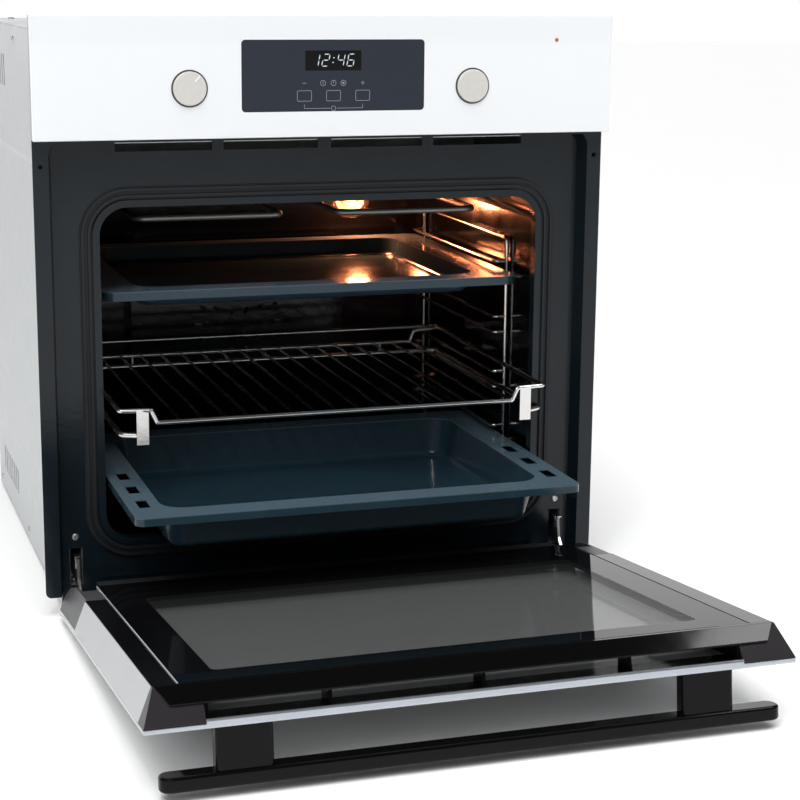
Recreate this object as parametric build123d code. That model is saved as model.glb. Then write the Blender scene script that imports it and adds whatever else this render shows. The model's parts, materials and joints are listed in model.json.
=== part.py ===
from build123d import *
import os
from math import cos, radians, sin

# A built-in single wall oven, in millimetres.
# Frame: X to the right, Y into the cabinet, Z up. Y = 0 is the plane of the cabinet's front
# face, where the flanges of the front frame land. Z = 0 is the shelf the oven stands on.
# The stored pose has the door open on its stop, with the rack and the deep pan drawn out.

# ---------------------------------------------------------------- driving dimensions
FRONT_WIDTH = 595.0        # control fascia, side to side
FRONT_HEIGHT = 595.0       # shelf to the top of the fascia
BODY_DEPTH = 546.0         # cabinet front to the back panel
FASCIA_HEIGHT = 118.5      # white glass strip
FASCIA_PROUD = 18.0        # front of the glass ahead of the cabinet face
GLASS = 4.0                # all panes
PANE_BOTTOM = 17.5         # outer pane's lower edge, clear above the hinge pins
SHEET = 1.5                # front frame
SKIN = 1.0                 # outer panels and cavity liner
FLANGE_W = 15.5            # visible border of the front frame beside the door
RECESS = 17.0              # front frame's sunken face behind the cabinet face
RECESS_R = 13.0            # upper corners of the sunken face
MOUTH_MARGIN = 45.5        # sunken face beside the cavity mouth
MOUTH_BOTTOM = 69.0        # mouth's lower edge above the shelf
MOUTH_DROP = 68.5          # mouth's upper edge below the fascia
MOUTH_R = 28.0             # mouth's corner radius
DOOR_HALF_GAP = 11.5       # door's side inside the fascia's end
DOOR_THICK = 33.0          # outer pane's face to inner pane's face
DOOR_PROUD = 20.0          # outer pane ahead of the cabinet face when shut
DOOR_OPEN = 83.7           # degrees from shut to the stop
PIVOT_Y = -14.0            # hinge pin
PIVOT_Z = 10.0
RACK_OUT = 80.0            # how far the rack stands drawn out
PAN_OUT = 172.0            # how far the deep pan stands drawn out
KNOB_R = 16.5
KNOB_X = 145.5             # knob centre from the middle
WINDOW_W = 188.0           # display window
WINDOW_H = 70.0
HANDLE_STANDOFF = 37.0     # gap between the outer pane and the bar
WIRE = 4.0                 # side support wire diameter
LEVEL_GAP = 17.5           # between the two wires of one shelf level

# ---------------------------------------------------------------- derived dimensions
HALF = FRONT_WIDTH / 2
TOP = FRONT_HEIGHT
FASCIA_Z = TOP - FASCIA_HEIGHT
FLANGE_OUT = HALF - 1.0
FLANGE_IN = FLANGE_OUT - FLANGE_W
FLANGE_TAPER = 4.5                              # flanges lean in by this much towards the back
RECESS_HALF = FLANGE_IN - FLANGE_TAPER
MOUTH_HALF = RECESS_HALF - MOUTH_MARGIN
MOUTH_TOP = FASCIA_Z - MOUTH_DROP
FASCIA_MID = FASCIA_Z + FASCIA_HEIGHT * 0.41
WINDOW_Z0 = FASCIA_Z + FASCIA_HEIGHT * 0.211
BODY_HALF = RECESS_HALF + 1.5
BODY_TOP = TOP - 17.0
LINER_HALF = MOUTH_HALF + 7.0
LINER_Z0 = MOUTH_BOTTOM - 2.0
LINER_Z1 = MOUTH_TOP + 2.0
CAVITY_BACK = BODY_DEPTH - 116.0
SHELF_Y = 41.0                                  # front edge of a shelf pushed home
SHELF_BACK = CAVITY_BACK - 36.0
LEVELS = [MOUTH_BOTTOM + 52.5 + i * (MOUTH_TOP - MOUTH_BOTTOM - 153.0) / 3 for i in range(4)]
RAIL_X = MOUTH_HALF - 10.0
DOOR_HALF = HALF - DOOR_HALF_GAP
DOOR_FRONT = -DOOR_PROUD
DOOR_BACK = DOOR_FRONT + DOOR_THICK
DOOR_TOP = FASCIA_Z - 3.5
INNER_HALF = DOOR_HALF - 33.3
INNER_TOP = DOOR_TOP - 25.0
FAN_Z = (LINER_Z0 + LINER_Z1) / 2 - 24.0
LAMP_X, LAMP_Z = 150.0, LINER_Z1 - 50.0
FLANGE_MID = (FLANGE_IN + FLANGE_OUT) / 2
SCREW_Z = FASCIA_Z - 25.5
HINGE_X = INNER_HALF + 9.8
LATCH_Y, LATCH_Z = 11.0, 47.0
GRILL_Z = LINER_Z1 - 21.0
RING_R = 94.0
GLAND_X, GLAND_Z = 190.0, BODY_TOP - 70.0
LAMP_LENS_X, LAMP_LENS_Z = HALF - 61.0, TOP - 24.5
DUCT_Z0 = LINER_Z1 + SKIN + 24.0
DUCT_Z1 = FASCIA_Z - 5.0
BLOWER_Y, BLOWER_Z = 132.0, DUCT_Z1 + 42.0
BLOWER_R, BLOWER_HALF = 24.0, 105.0
HANDLE_LEG_X = DOOR_HALF - 82.0
HANDLE_Z = DOOR_TOP - 13.0
SIDE_TAPER = 12.0
CAP_X = DOOR_HALF - 50.5


# ---------------------------------------------------------------- small helpers
def block(x0, x1, y0, y1, z0, z1):
    """A box given by its limits."""
    return Pos((x0 + x1) / 2, (y0 + y1) / 2, (z0 + z1) / 2) * Box(x1 - x0, y1 - y0, z1 - z0)


def both(solid):
    """A solid and its mirror image in the centre plane."""
    return solid + mirror(solid, about=Plane.YZ)


def along_y(x, z, r, y0, y1):
    """A round bar or hole running front to back."""
    return Pos(x, (y0 + y1) / 2, z) * Rot(90, 0, 0) * Cylinder(r, y1 - y0)


def along_x(y, z, r, x0, x1):
    """A round bar or hole running side to side."""
    return Pos((x0 + x1) / 2, y, z) * Rot(0, 90, 0) * Cylinder(r, x1 - x0)


def slab_xz(w, h, r, y0, y1, x=0.0, z=0.0):
    """A plate facing forward with rounded corners, centred on x, z."""
    face = Plane.XZ * Pos(x, z) * RectangleRounded(w, h, r)
    return Pos(0, y1, 0) * extrude(face, y1 - y0)


def slab_xy(w, d, r, z0, z1, x=0.0, y=0.0):
    """A level plate with rounded corners, centred on x, y."""
    return Pos(0, 0, z0) * extrude(Pos(x, y) * RectangleRounded(w, d, r), z1 - z0)


def prism_z(points, z0, z1):
    """A polygon in plan, drawn up from z0 to z1."""
    return Pos(0, 0, z0) * extrude(make_face(Polyline(*points, close=True)), z1 - z0)


def prism_x(points, x0, x1):
    """A polygon in Y, Z, drawn from x0 to x1."""
    face = make_face(Polyline(*[(x0, y, z) for y, z in points], close=True))
    return extrude(face, amount=x1 - x0, dir=(1, 0, 0))


def bent(points, r, bend):
    """A round wire through the points, with its corners bent to a radius."""
    pts = [Vector(*p) for p in points]
    edges, start = [], pts[0]
    for a, b, c in zip(pts, pts[1:], pts[2:]):
        u, v = (a - b).normalized(), (c - b).normalized()
        half = radians(u.get_angle(v)) / 2
        reach = bend * cos(half) / sin(half)
        p, q = b + u * reach, b + v * reach
        middle = b + (u + v).normalized() * (bend / sin(half) - bend)
        edges += [Line(start, p), ThreePointArc(p, middle, q)]
        start = q
    edges.append(Line(start, pts[-1]))
    path = Wire(edges)
    section = Plane(origin=pts[0], z_dir=(pts[1] - pts[0])) * Circle(r)
    return sweep(section, path=path)


def turned_open(solid):
    """The door's pieces are drawn shut, then swung about the hinge pins to the stop."""
    return solid.rotate(Axis((0, PIVOT_Y, PIVOT_Z), (1, 0, 0)), DOOR_OPEN)


def save(node, shape):
    """Write one named piece, as one compound of clean solids."""
    solids = list(shape.solids())
    out = solids[0] if len(solids) == 1 else Compound(solids)
    out.label = node
    export_step(out, f"parts/{node}.step")


# ---------------------------------------------------------------- front frame and housing
def front_frame():
    """Enamelled pressing: side flanges, sunken face, mouth, air slots and control plate."""
    fi, rh, y1 = FLANGE_IN, RECESS_HALF, RECESS
    half = [(0, y1), (rh, y1), (fi, -SHEET), (FLANGE_OUT, -SHEET), (FLANGE_OUT, 0),
            (fi + 1.2, 0), (rh + 1.2, y1 + SHEET), (0, y1 + SHEET)]
    outline = half + [(-x, y) for x, y in reversed(half[1:-1])]
    pressing = prism_z(outline, 17.0, FASCIA_Z - 2.0)
    corner = block(FLANGE_OUT - 6, FLANGE_OUT + 1, -3, 1, 16, 23)
    pressing -= both(corner - along_y(FLANGE_OUT - 6, 23, 6, -4, 2))
    frame = pressing + block(-rh, rh, y1, y1 + SHEET, 3.0, 17.0)
    frame += block(-fi, fi, -SHEET, y1 + SHEET, FASCIA_Z - 3.5, FASCIA_Z - 2.0)
    shoulder_x, shoulder_z, front_y = rh - RECESS_R, FASCIA_Z - 3.5 - RECESS_R, -SHEET - 1
    shoulder = block(shoulder_x, fi + 0.5, -SHEET, y1 + SHEET, shoulder_z, FASCIA_Z - 2.0)
    hollow = Cone(RECESS_R, RECESS_R + FLANGE_TAPER + 0.2, y1 - front_y)
    hollow = Pos(shoulder_x, (front_y + y1) / 2, shoulder_z) * Rot(90, 0, 0) * hollow
    frame += both(shoulder - hollow)
    frame += block(-rh + 40, rh - 40, y1 - 1.2, y1, MOUTH_BOTTOM - 40.5, MOUTH_BOTTOM - 38.0)
    # control plate above, behind the fascia
    plate = block(-FLANGE_OUT, FLANGE_OUT, -SHEET, 0, FASCIA_Z - 2.0, TOP - 3.0)
    plate -= block(-100, 100, -3, 3, FASCIA_Z + 13.5, TOP - 14.0)
    for x in (-KNOB_X, KNOB_X):
        plate -= along_y(x, FASCIA_MID, 5.5, -3, 3)
    frame += plate
    # mouth with its raised rim and the lip that reaches into the liner
    w, h = 2 * MOUTH_HALF, MOUTH_TOP - MOUTH_BOTTOM
    zc = (MOUTH_TOP + MOUTH_BOTTOM) / 2
    frame += slab_xz(w + 14, h + 14, MOUTH_R + 7, y1 - 3.2, y1 + 0.5, 0, zc)
    frame += slab_xz(w + 3, h + 3, MOUTH_R + 1.5, y1, y1 + 9, 0, zc)
    frame -= slab_xz(w, h, MOUTH_R, y1 - 9, y1 + 20, 0, zc)
    # four cooling-air slots close under the fascia
    slot_z0, slot_z1, inner, outer = FASCIA_Z - 14.0, FASCIA_Z - 3.5, 7.0, RECESS_HALF - 63.0
    middle = (inner + outer) / 2
    for a, b in ((inner, middle - 6.0), (middle + 6.0, outer)):
        frame -= both(block(a, b, y1 - 2, y1 + 3, slot_z0, slot_z1))
    # screw holes to the cabinet, and the slots the hinge brackets come through
    for x in (-FLANGE_MID, FLANGE_MID):
        frame -= along_y(x, SCREW_Z, 2.75, -4, 2)
    frame -= both(block(HINGE_X - 6.5, HINGE_X + 6.5, y1 - 2, y1 + 3, 22.5, 62.0))
    return frame


def cavity_liner():
    """The enamelled muffle: a rounded box open at the front, with its openings."""
    w, h = 2 * LINER_HALF, LINER_Z1 - LINER_Z0
    zc, y0, y1 = (LINER_Z0 + LINER_Z1) / 2, RECESS + SHEET, CAVITY_BACK
    liner = slab_xz(w + 2 * SKIN, h + 2 * SKIN, MOUTH_R + 3, y0, y1 + SKIN, 0, zc)
    liner -= slab_xz(w, h, MOUTH_R + 2, y0 - 1, y1, 0, zc)
    collar = slab_xz(w + 16, h + 12, MOUTH_R + 6, y0, y0 + SKIN, 0, zc)
    liner += collar - slab_xz(w, h, MOUTH_R + 2, y0 - 1, y0 + 5, 0, zc)
    liner -= along_y(0, FAN_Z, 9.0, y1 - 2, y1 + 4)
    liner -= along_y(LAMP_X, LAMP_Z, 19.0, y1 - 2, y1 + 4)
    liner -= along_y(-LAMP_X + 30, LAMP_Z + 14, 2.3, y1 - 2, y1 + 4)
    for x in (-40, 40):
        liner -= along_y(x, GRILL_Z, 3.6, y1 - 2, y1 + 4)
    for x in (-18, 18):
        liner -= along_y(x, FAN_Z - RING_R, 3.6, y1 - 2, y1 + 4)
    return liner


def insulation():
    """Mineral wool round the liner: top, sides, back and a slab under the lower element."""
    lh, z0, z1 = LINER_HALF + SKIN + 0.5, LINER_Z0, LINER_Z1 + SKIN + 0.5
    y0, y1 = RECESS + SHEET + 12, CAVITY_BACK + SKIN + 0.5
    wool = block(-lh - 21, lh + 21, y0, y1 + 22, z0 + 4, z1 + 22)
    wool -= block(-lh, lh, y0 - 1, y1, z0 - 2, z1)
    wool += block(-lh + 2, lh - 2, y0, y1 - 6, z0 - 34, z0 - 12)
    wool -= along_y(0, FAN_Z, 40, y1 - 2, y1 + 30)
    wool -= along_y(LAMP_X, LAMP_Z, 24, y1 - 2, y1 + 30)
    wool -= block(-60, 60, y1 - 2, y1 + 30, GRILL_Z - 8, GRILL_Z + 8)
    wool -= block(-34, 34, y1 - 2, y1 + 30, FAN_Z - RING_R - 9, FAN_Z - RING_R + 9)
    wool -= along_y(-LAMP_X + 30, LAMP_Z + 14, 4, y1 - 2, y1 + 30)
    return wool


def side_panel():
    """Right outer panel, with folded top and bottom edges and rows of air slots."""
    b = BODY_HALF
    panel = prism_x([(RECESS + 3, 2), (BODY_DEPTH - 1.2, 2), (BODY_DEPTH - 1.2, BODY_TOP - 1.2),
                     (0.3, BODY_TOP - 1.2), (0.3, FASCIA_Z + 2), (RECESS + 3, FASCIA_Z + 2)],
                    b - SKIN, b)
    panel += block(b - 9, b, RECESS + 3, BODY_DEPTH - 1.2, 1.4, 2.4)
    for i in range(8):
        y = BODY_DEPTH - 60 - 18 * i
        panel -= block(b - 3, b + 3, y - 3, y + 3, BODY_TOP - 70, BODY_TOP - 35)
        panel -= block(b - 3, b + 3, y - 3, y + 3, 30, 60)
    return panel


def top_cover():
    """Top outer panel with down-turned sides and an air slot field at the back."""
    b = BODY_HALF
    cover = block(-b, b, 0.3, BODY_DEPTH, BODY_TOP - SKIN, BODY_TOP)
    for i in range(10):
        x = -90 + 20 * i
        cover -= block(x - 4, x + 4, BODY_DEPTH - 110, BODY_DEPTH - 60, BODY_TOP - 3, BODY_TOP + 3)
    return cover


def back_panel():
    """Rear panel: motor clearance field, air slots and the hole for the cable gland."""
    b = BODY_HALF
    panel = block(-b, b, BODY_DEPTH - SKIN, BODY_DEPTH, 1.4, BODY_TOP - SKIN - 0.2)
    for row in range(3):
        for i in range(9):
            x = -96 + 24 * i
            z = FAN_Z - 30 + 30 * row
            panel -= block(x - 8, x + 8, BODY_DEPTH - 3, BODY_DEPTH + 3, z - 3, z + 3)
    panel -= along_y(GLAND_X, GLAND_Z, 8.0, BODY_DEPTH - 3, BODY_DEPTH + 3)
    panel += block(-60, 60, BODY_DEPTH - 6, BODY_DEPTH - SKIN, BODY_TOP - 60, BODY_TOP - 52)
    return panel


def base_panel():
    """Floor of the housing: the face that stands on the cabinet's shelf."""
    b = BODY_HALF
    base = block(-b, b, -1.2, BODY_DEPTH, 0, 1.2)
    base += block(-b + 30, b - 30, RECESS + 14, RECESS + 15, 1.2, 22)
    for i in range(11):
        x = -150 + 30 * i
        base -= block(x - 9, x + 9, 120, 126, -2, 3)
        base -= block(x - 9, x + 9, 200, 206, -2, 3)
    return base


# ---------------------------------------------------------------- control fascia
def fascia_glass():
    """White glass strip with its cut-outs and softened edges."""
    glass = block(-HALF, HALF, -FASCIA_PROUD, -FASCIA_PROUD + GLASS, FASCIA_Z, TOP)
    glass = chamfer(glass.edges().filter_by(Axis.Y), 0.8)
    glass = chamfer(glass.faces().sort_by(Axis.Y)[0].edges(), 0.6)
    y0, y1 = -FASCIA_PROUD - 1, -FASCIA_PROUD + GLASS + 1
    glass -= slab_xz(WINDOW_W, WINDOW_H, 4.0, y0, y1, 0, WINDOW_Z0 + WINDOW_H / 2)
    for x in (-KNOB_X, KNOB_X):
        glass -= along_y(x, FASCIA_MID, KNOB_R + 1.6, y0, y1)
    return glass - along_y(LAMP_LENS_X, LAMP_LENS_Z, 1.9, y0, y1)


def fascia_frame():
    """Moulded carrier behind the glass: a shallow tray with windows for the controls."""
    y0, y1 = -FASCIA_PROUD + GLASS, -SHEET
    x1, z0, z1 = HALF - 0.6, FASCIA_Z + 0.6, TOP - 0.6
    frame = block(-x1, x1, y0, y1, z0, z1) - block(-x1 + 2, x1 - 2, y0 + 2, y1 + 1, z0 + 2, z1 - 2)
    for x in (-200.0, 200.0):
        frame += block(x - 1, x + 1, y0 + 1, y1, z0 + 1, z1 - 1)
    frame -= slab_xz(WINDOW_W - 12, WINDOW_H - 12, 2.0, y0 - 1, y1 + 1, 0, WINDOW_Z0 + WINDOW_H / 2)
    for x in (-KNOB_X, KNOB_X):
        frame -= along_y(x, FASCIA_MID, KNOB_R + 1.6, y0 - 1, y1 + 1)
    return frame - along_y(LAMP_LENS_X, LAMP_LENS_Z, 1.9, y0 - 1, y1 + 1)


def display_window():
    """Dark pane of the clock, flush with the white glass."""
    return slab_xz(WINDOW_W - 0.2, WINDOW_H - 0.2, 3.9, -FASCIA_PROUD, -FASCIA_PROUD + GLASS,
                   0, WINDOW_Z0 + WINDOW_H / 2)


def control_module():
    """Clock and touch electronics: board, display block, and its rear cover."""
    y0 = -FASCIA_PROUD + GLASS + 0.1
    zc = WINDOW_Z0 + WINDOW_H / 2
    module = block(-32, 32, y0, y0 + 9, zc + 2, zc + 26)
    module += block(-42, 42, y0 + 1, y0 + 9, zc - 28, zc - 12)
    module += block(-80, 80, y0 + 9, y0 + 10.6, zc - 30, zc + 30)
    module += block(-76, 76, y0 + 10.6, y0 + 34, zc - 27, zc + 27)
    module += block(-20, 20, y0 + 34, y0 + 40, zc - 8, zc + 8)
    return module


def indicator_lamp():
    """Small heating-on lens, set in the glass, with its light guide."""
    lens = along_y(LAMP_LENS_X, LAMP_LENS_Z, 1.8, -FASCIA_PROUD - 0.5, -4.0)
    return lens + along_y(LAMP_LENS_X, LAMP_LENS_Z, 3.0, -9.0, -4.0)


def knob_rings():
    """Two dark collars that line the knob openings."""
    rings = None
    for x in (-KNOB_X, KNOB_X):
        ring = along_y(x, FASCIA_MID, KNOB_R + 1.5, -FASCIA_PROUD - 0.5, -4.0)
        ring += along_y(x, FASCIA_MID, KNOB_R + 3.0, -9.9, -8.4)
        ring -= along_y(x, FASCIA_MID, KNOB_R + 0.3, -FASCIA_PROUD - 2, 0)
        rings = ring if rings is None else rings + ring
    return rings


def knob(side):
    """Pop-out control knob, pressed home, with its pointer and the socket for the shaft."""
    x, z, y0 = side * KNOB_X, FASCIA_MID, -FASCIA_PROUD - 3.0
    body = along_y(x, z, KNOB_R, y0, y0 + 15)
    body = fillet(body.edges().filter_by(GeomType.CIRCLE).sort_by(Axis.Y)[0], 1.4)
    body -= along_y(x, z, KNOB_R - 2.0, y0 + 2.5, y0 + 16)
    body += along_y(x, z, 6.0, y0 + 2, y0 + 18)
    body -= along_y(x, z, 3.05, y0 + 2.4, y0 + 19)
    if side < 0:
        mark = Pos(0, 0, 12.2) * Box(1.5, 0.3, 8.0)
        body += Pos(x, y0 - 0.1, z) * Rot(0, 38, 0) * mark
    return body


def knob_shaft(side):
    """Turning spindle of the control: the knob slides along it."""
    x, y0 = side * KNOB_X, -FASCIA_PROUD - 3.0
    shaft = along_y(x, FASCIA_MID, 3.0, y0 + 2.9, 26.0)
    return shaft + along_y(x, FASCIA_MID, 4.5, 20.0, 24.0)


def switch_body(side, size, depth):
    """Switch or thermostat behind the control plate, with terminals and a hollow for its rotor."""
    x, z = side * KNOB_X, FASCIA_MID
    body = block(x - size / 2, x + size / 2, 0.1, depth, z - size / 2, z + size / 2)
    body -= along_y(x, z, 3.06, -1, depth - 4)
    body -= along_y(x, z, 5.0, 18.0, depth - 4)
    for dx in (-0.3, 0, 0.3):
        for dz in (-0.3, 0.3):
            body += block(x + dx * size - 0.4, x + dx * size + 0.4, depth, depth + 8,
                          z + dz * size - 3, z + dz * size + 3)
    return body


# ---------------------------------------------------------------- cavity fittings
def door_gasket():
    """Rubber seal round the mouth: a flat foot with two standing lips."""
    zc = (MOUTH_TOP + MOUTH_BOTTOM) / 2

    def ring(inner, outer, y0, y1):
        w, h = 2 * MOUTH_HALF, MOUTH_TOP - MOUTH_BOTTOM
        solid = slab_xz(w + 2 * outer, h + 2 * outer, MOUTH_R + outer, y0, y1, 0, zc)
        return solid - slab_xz(w + 2 * inner, h + 2 * inner, MOUTH_R + inner, y0 - 1, y1 + 1, 0, zc)

    return ring(8.0, 20.0, RECESS - 1.2, RECESS) + ring(9.5, 12.0, RECESS - 3.7, RECESS - 1.2) \
        + ring(16.0, 18.5, RECESS - 3.7, RECESS - 1.2)


def side_support():
    """Right-hand wire ladder: two uprights, and a pair of rails for each level."""
    r, rail, post = WIRE / 2, RAIL_X, LINER_HALF - 3.2
    y0, y1 = 106.0, SHELF_BACK - 6.0
    z0, z1 = LEVELS[0] - 28.0, LEVELS[3] + LEVEL_GAP + 26.0
    ladder = bent([(post, y0, z0), (post, y0, z1), (post, y1, z1), (post, y1, z0),
                   (post, y0 + 12, z0)], r + 0.25, 6)
    for z in LEVELS:
        for dz in (0.0, LEVEL_GAP):
            ladder += bent([(post, y0, z + dz), (rail, y0, z + dz), (rail, y1, z + dz),
                            (post, y1, z + dz)], r, 5)
    for y in (y0 + 30, y1 - 30):
        ladder += Pos((post + LINER_HALF) / 2 + 0.5, y, z1) * Rot(0, 90, 0) \
            * Cylinder(3.2, LINER_HALF - post - 1.0)
    return ladder


def wire_rack():
    """Chromed shelf: raised side rails, sunken grid, runners below and two stop plates."""
    y0, y1 = SHELF_Y - 1.0 - RACK_OUT, SHELF_BACK - 4.0 - RACK_OUT
    grid_z, rail_z, run_z = LEVELS[1] + 17.5, LEVELS[1] + 30.5, LEVELS[1] + WIRE / 2 + 3.05
    side, end = RAIL_X + 3.0, RAIL_X - 34.0
    rack = bent([(-side, (y0 + y1) / 2, rail_z), (-side, y0 + 5, rail_z), (-end - 6, y0, rail_z),
                 (-end, y0, grid_z), (end, y0, grid_z), (end + 6, y0, rail_z),
                 (side, y0 + 5, rail_z), (side, (y0 + y1) / 2, rail_z)], 2.5, 3)
    rack += bent([(-side, (y0 + y1) / 2, rail_z), (-side, y1, rail_z + 3), (side, y1, rail_z + 3),
                  (side, (y0 + y1) / 2, rail_z)], 2.5, 9)
    rack += bent([(-side, y1 - 8, rail_z + 2), (-end - 6, y1 - 8, rail_z), (-end, y1 - 8, grid_z),
                  (end, y1 - 8, grid_z), (end + 6, y1 - 8, rail_z), (side, y1 - 8, rail_z + 2)],
                 2.5, 3)
    bars = 17
    for i in range(bars):
        x = -end + 2 * end * i / (bars - 1)
        rack += Pos(x, (y0 + y1 - 8) / 2, grid_z) * Rot(90, 0, 0) * Cylinder(1.6, y1 - 8 - y0)
    rack += bent([(-end - 16, y0 + 2, run_z), (-side + 2, y0 + 12, run_z), (-side + 2, y1 - 8, run_z),
                  (side - 2, y1 - 8, run_z), (side - 2, y0 + 12, run_z), (end + 16, y0 + 2, run_z)],
                 3.0, 6)
    rack += both(Pos(150, y1 - 8, (run_z + grid_z) / 2) * Cylinder(1.8, grid_z - run_z))
    rack += both(block(end + 9, end + 21, y0 - 1.0, y0 + 1.0, run_z - 9, rail_z + 1))
    return rack


def sheet_tray(half_w, y0, y1, rim_top, rim_h, body_half, margin, depth, draft, r):
    """A pressed enamel tray: hollow drafted body, flat border and a rolled rim."""
    floor, t = rim_top - depth, 1.3
    yc, length = (y0 + y1) / 2, (y1 - y0) - 2 * margin
    outer = loft([Pos(0, yc, rim_top - 1) * RectangleRounded(2 * body_half, length, 26),
                  Pos(0, yc, floor) * RectangleRounded(2 * (body_half - draft), length - 2 * draft, 20)])
    outer = fillet(outer.faces().sort_by(Axis.Z)[0].edges(), 8)
    inner = loft([Pos(0, yc, rim_top + 1) * RectangleRounded(2 * body_half - 2 * t, length - 2 * t, 25),
                  Pos(0, yc, floor + t) * RectangleRounded(2 * (body_half - draft - t),
                                                           length - 2 * draft - 2 * t, 19)])
    inner = fillet(inner.faces().sort_by(Axis.Z)[0].edges(), 7)
    border = slab_xy(2 * half_w, y1 - y0, r, rim_top - t, rim_top, 0, yc)
    skirt = slab_xy(2 * half_w, y1 - y0, r, rim_top - rim_h, rim_top, 0, yc) \
        - slab_xy(2 * half_w - 2 * t, y1 - y0 - 2 * t, r - 1, rim_top - rim_h - 1, rim_top - t, 0, yc)
    roll = slab_xy(2 * half_w, y1 - y0, r, rim_top - rim_h, rim_top - rim_h + t, 0, yc) \
        - slab_xy(2 * half_w - 21, y1 - y0 - 10, 12, rim_top - rim_h - 1, rim_top, 0, yc)
    return outer + border + skirt + roll - inner


def shallow_tray():
    """Baking tray on the top level, pushed home."""
    top = LEVELS[3] + WIRE / 2 + 9.3
    return sheet_tray(MOUTH_HALF - 7.4, SHELF_Y, SHELF_BACK + 1.0, top, 9.2,
                      MOUTH_HALF - 43.0, 26.0, 21.0, 6.0, 14.0)


def deep_pan():
    """Deep pan on the lowest level, drawn out, with three slots in each side border."""
    top = LEVELS[0] + WIRE / 2 + 7.9
    y0, y1 = SHELF_Y - 5.0 - PAN_OUT, SHELF_BACK - 3.0 - PAN_OUT
    pan = sheet_tray(MOUTH_HALF - 3.5, y0, y1, top, 7.8, MOUTH_HALF - 34.0, 28.0, 43.0, 10.0, 10.0)
    for y in (y0 + 53, y0 + 108, y0 + 162):
        pan -= both(block(MOUTH_HALF - 25.0, MOUTH_HALF - 14.0, y - 14, y + 14, top - 5, top + 5))
    return pan


def grill_element():
    """Roof heater: one tube bent into two loops, with its mounting plate at the back."""
    w, yf, yb, z = MOUTH_HALF - 48.0, 72.0, CAVITY_BACK - 80.0, GRILL_Z
    tube = bent([(-40, CAVITY_BACK + 24, z), (-40, yb, z), (-w, yb, z), (-w, yf, z), (-31, yf, z),
                 (-31, yb - 50, z), (31, yb - 50, z), (31, yf, z), (w, yf, z), (w, yb, z),
                 (40, yb, z), (40, CAVITY_BACK + 24, z)], 3.5, 12)
    plate = block(-54, 54, CAVITY_BACK - 1.6, CAVITY_BACK - 0.1, z - 9, z + 9)
    for x in (-40, 40):
        plate += block(x - 3, x + 3, CAVITY_BACK + 24, CAVITY_BACK + 32, z - 0.5, z + 0.5)
    return tube + plate


def ring_element():
    """Round heater about the fan, with its two ends through the back wall."""
    y = CAVITY_BACK - 10.0
    ring = Pos(0, y, FAN_Z) * Rot(90, 0, 0) * Torus(RING_R - 12.0, 3.4)
    ring -= block(-18, 18, y - 6, y + 6, FAN_Z - RING_R - 6, FAN_Z - RING_R + 30)
    foot = FAN_Z - RING_R
    for s in (-1, 1):
        ring += bent([(s * 18, y, foot + 13.9), (s * 18, y, foot), (s * 18, CAVITY_BACK + 22, foot)],
                     3.4, 5)
    return ring + block(-28, 28, CAVITY_BACK - 1.5, CAVITY_BACK - 0.1, foot - 8, foot + 8)


def bottom_element():
    """Floor heater: a single loop under the liner, with its ends turned to the back."""
    w, y0, y1, z = LINER_HALF - 60.0, 90.0, CAVITY_BACK - 40.0, LINER_Z0 - SKIN - 4.6
    return bent([(-30, CAVITY_BACK + 18, z), (-30, y1, z), (-w, y1, z), (-w, y0, z), (w, y0, z),
                 (w, y1, z), (30, y1, z), (30, CAVITY_BACK + 18, z)], 3.4, 20)


def fan_cover():
    """Pressed baffle over the fan, with a slotted intake and side outlets."""
    y0, y1, w = CAVITY_BACK - 28.0, CAVITY_BACK - 0.1, 132.0
    z0, z1 = FAN_Z - 118.0, FAN_Z + 112.0
    zc, h = (z0 + z1) / 2, z1 - z0
    cover = slab_xz(2 * w, h, 24, y0, y1, 0, zc) - slab_xz(2 * w - 2.4, h - 2.4, 23, y0 + 1.2, y1 + 1, 0, zc)
    for r, n in ((18, 6), (34, 10), (50, 14)):
        for i in range(n):
            cover -= Pos(0, 0, FAN_Z) * Rot(0, 360 / n * i, 0) * Pos(r, y0, 0) * Box(8.5, 6, 4.5)
    for z in (zc - 80, zc - 50, zc - 20, zc + 10, zc + 40, zc + 70):
        cover -= both(block(w - 3, w + 3, y0 + 7, y0 + 21, z, z + 14))
    for x in (-100, 100):
        cover += along_y(x, z1 - 16, 3.5, y0 - 1.5, y0 + 0.5)
        cover += along_y(x, z0 + 16, 3.5, y0 - 1.5, y0 + 0.5)
    return cover


def convection_fan():
    """Radial fan wheel on its shaft, held by a nut."""
    y = CAVITY_BACK - 4.0
    fan = along_y(0, FAN_Z, 66.0, y - 1.2, y)
    for i in range(16):
        fan += Pos(0, 0, FAN_Z) * Rot(0, 22.5 * i, 0) * Pos(50, y - 8.4, 0) * Rot(0, 18, 0) \
            * Box(26, 15, 1.2)
    fan += along_y(0, FAN_Z, 8.0, y - 12, y)
    fan += Pos(0, y - 15, FAN_Z) * Rot(90, 0, 0) * extrude(RegularPolygon(6.0, 6), 4)
    return fan + along_y(0, FAN_Z, 4.0, y - 14, CAVITY_BACK + 40)


def fan_motor():
    """Shaded-pole motor on the back of the liner: mounting spider, stack and coil."""
    y = CAVITY_BACK + SKIN
    motor = along_y(0, FAN_Z, 30.0, y + 0.1, y + 2.0)
    motor += block(-26, 26, y + 2, y + 60, FAN_Z - 6, FAN_Z + 6)
    motor += along_y(0, FAN_Z, 14.0, y + 2, y + 20)
    motor += block(-28, 28, y + 20, y + 40, FAN_Z - 24, FAN_Z + 24)
    motor += block(-18, 18, y + 14, y + 46, FAN_Z - 22, FAN_Z - 8)
    return motor - along_y(0, FAN_Z, 4.06, y - 1, y + 44)


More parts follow.
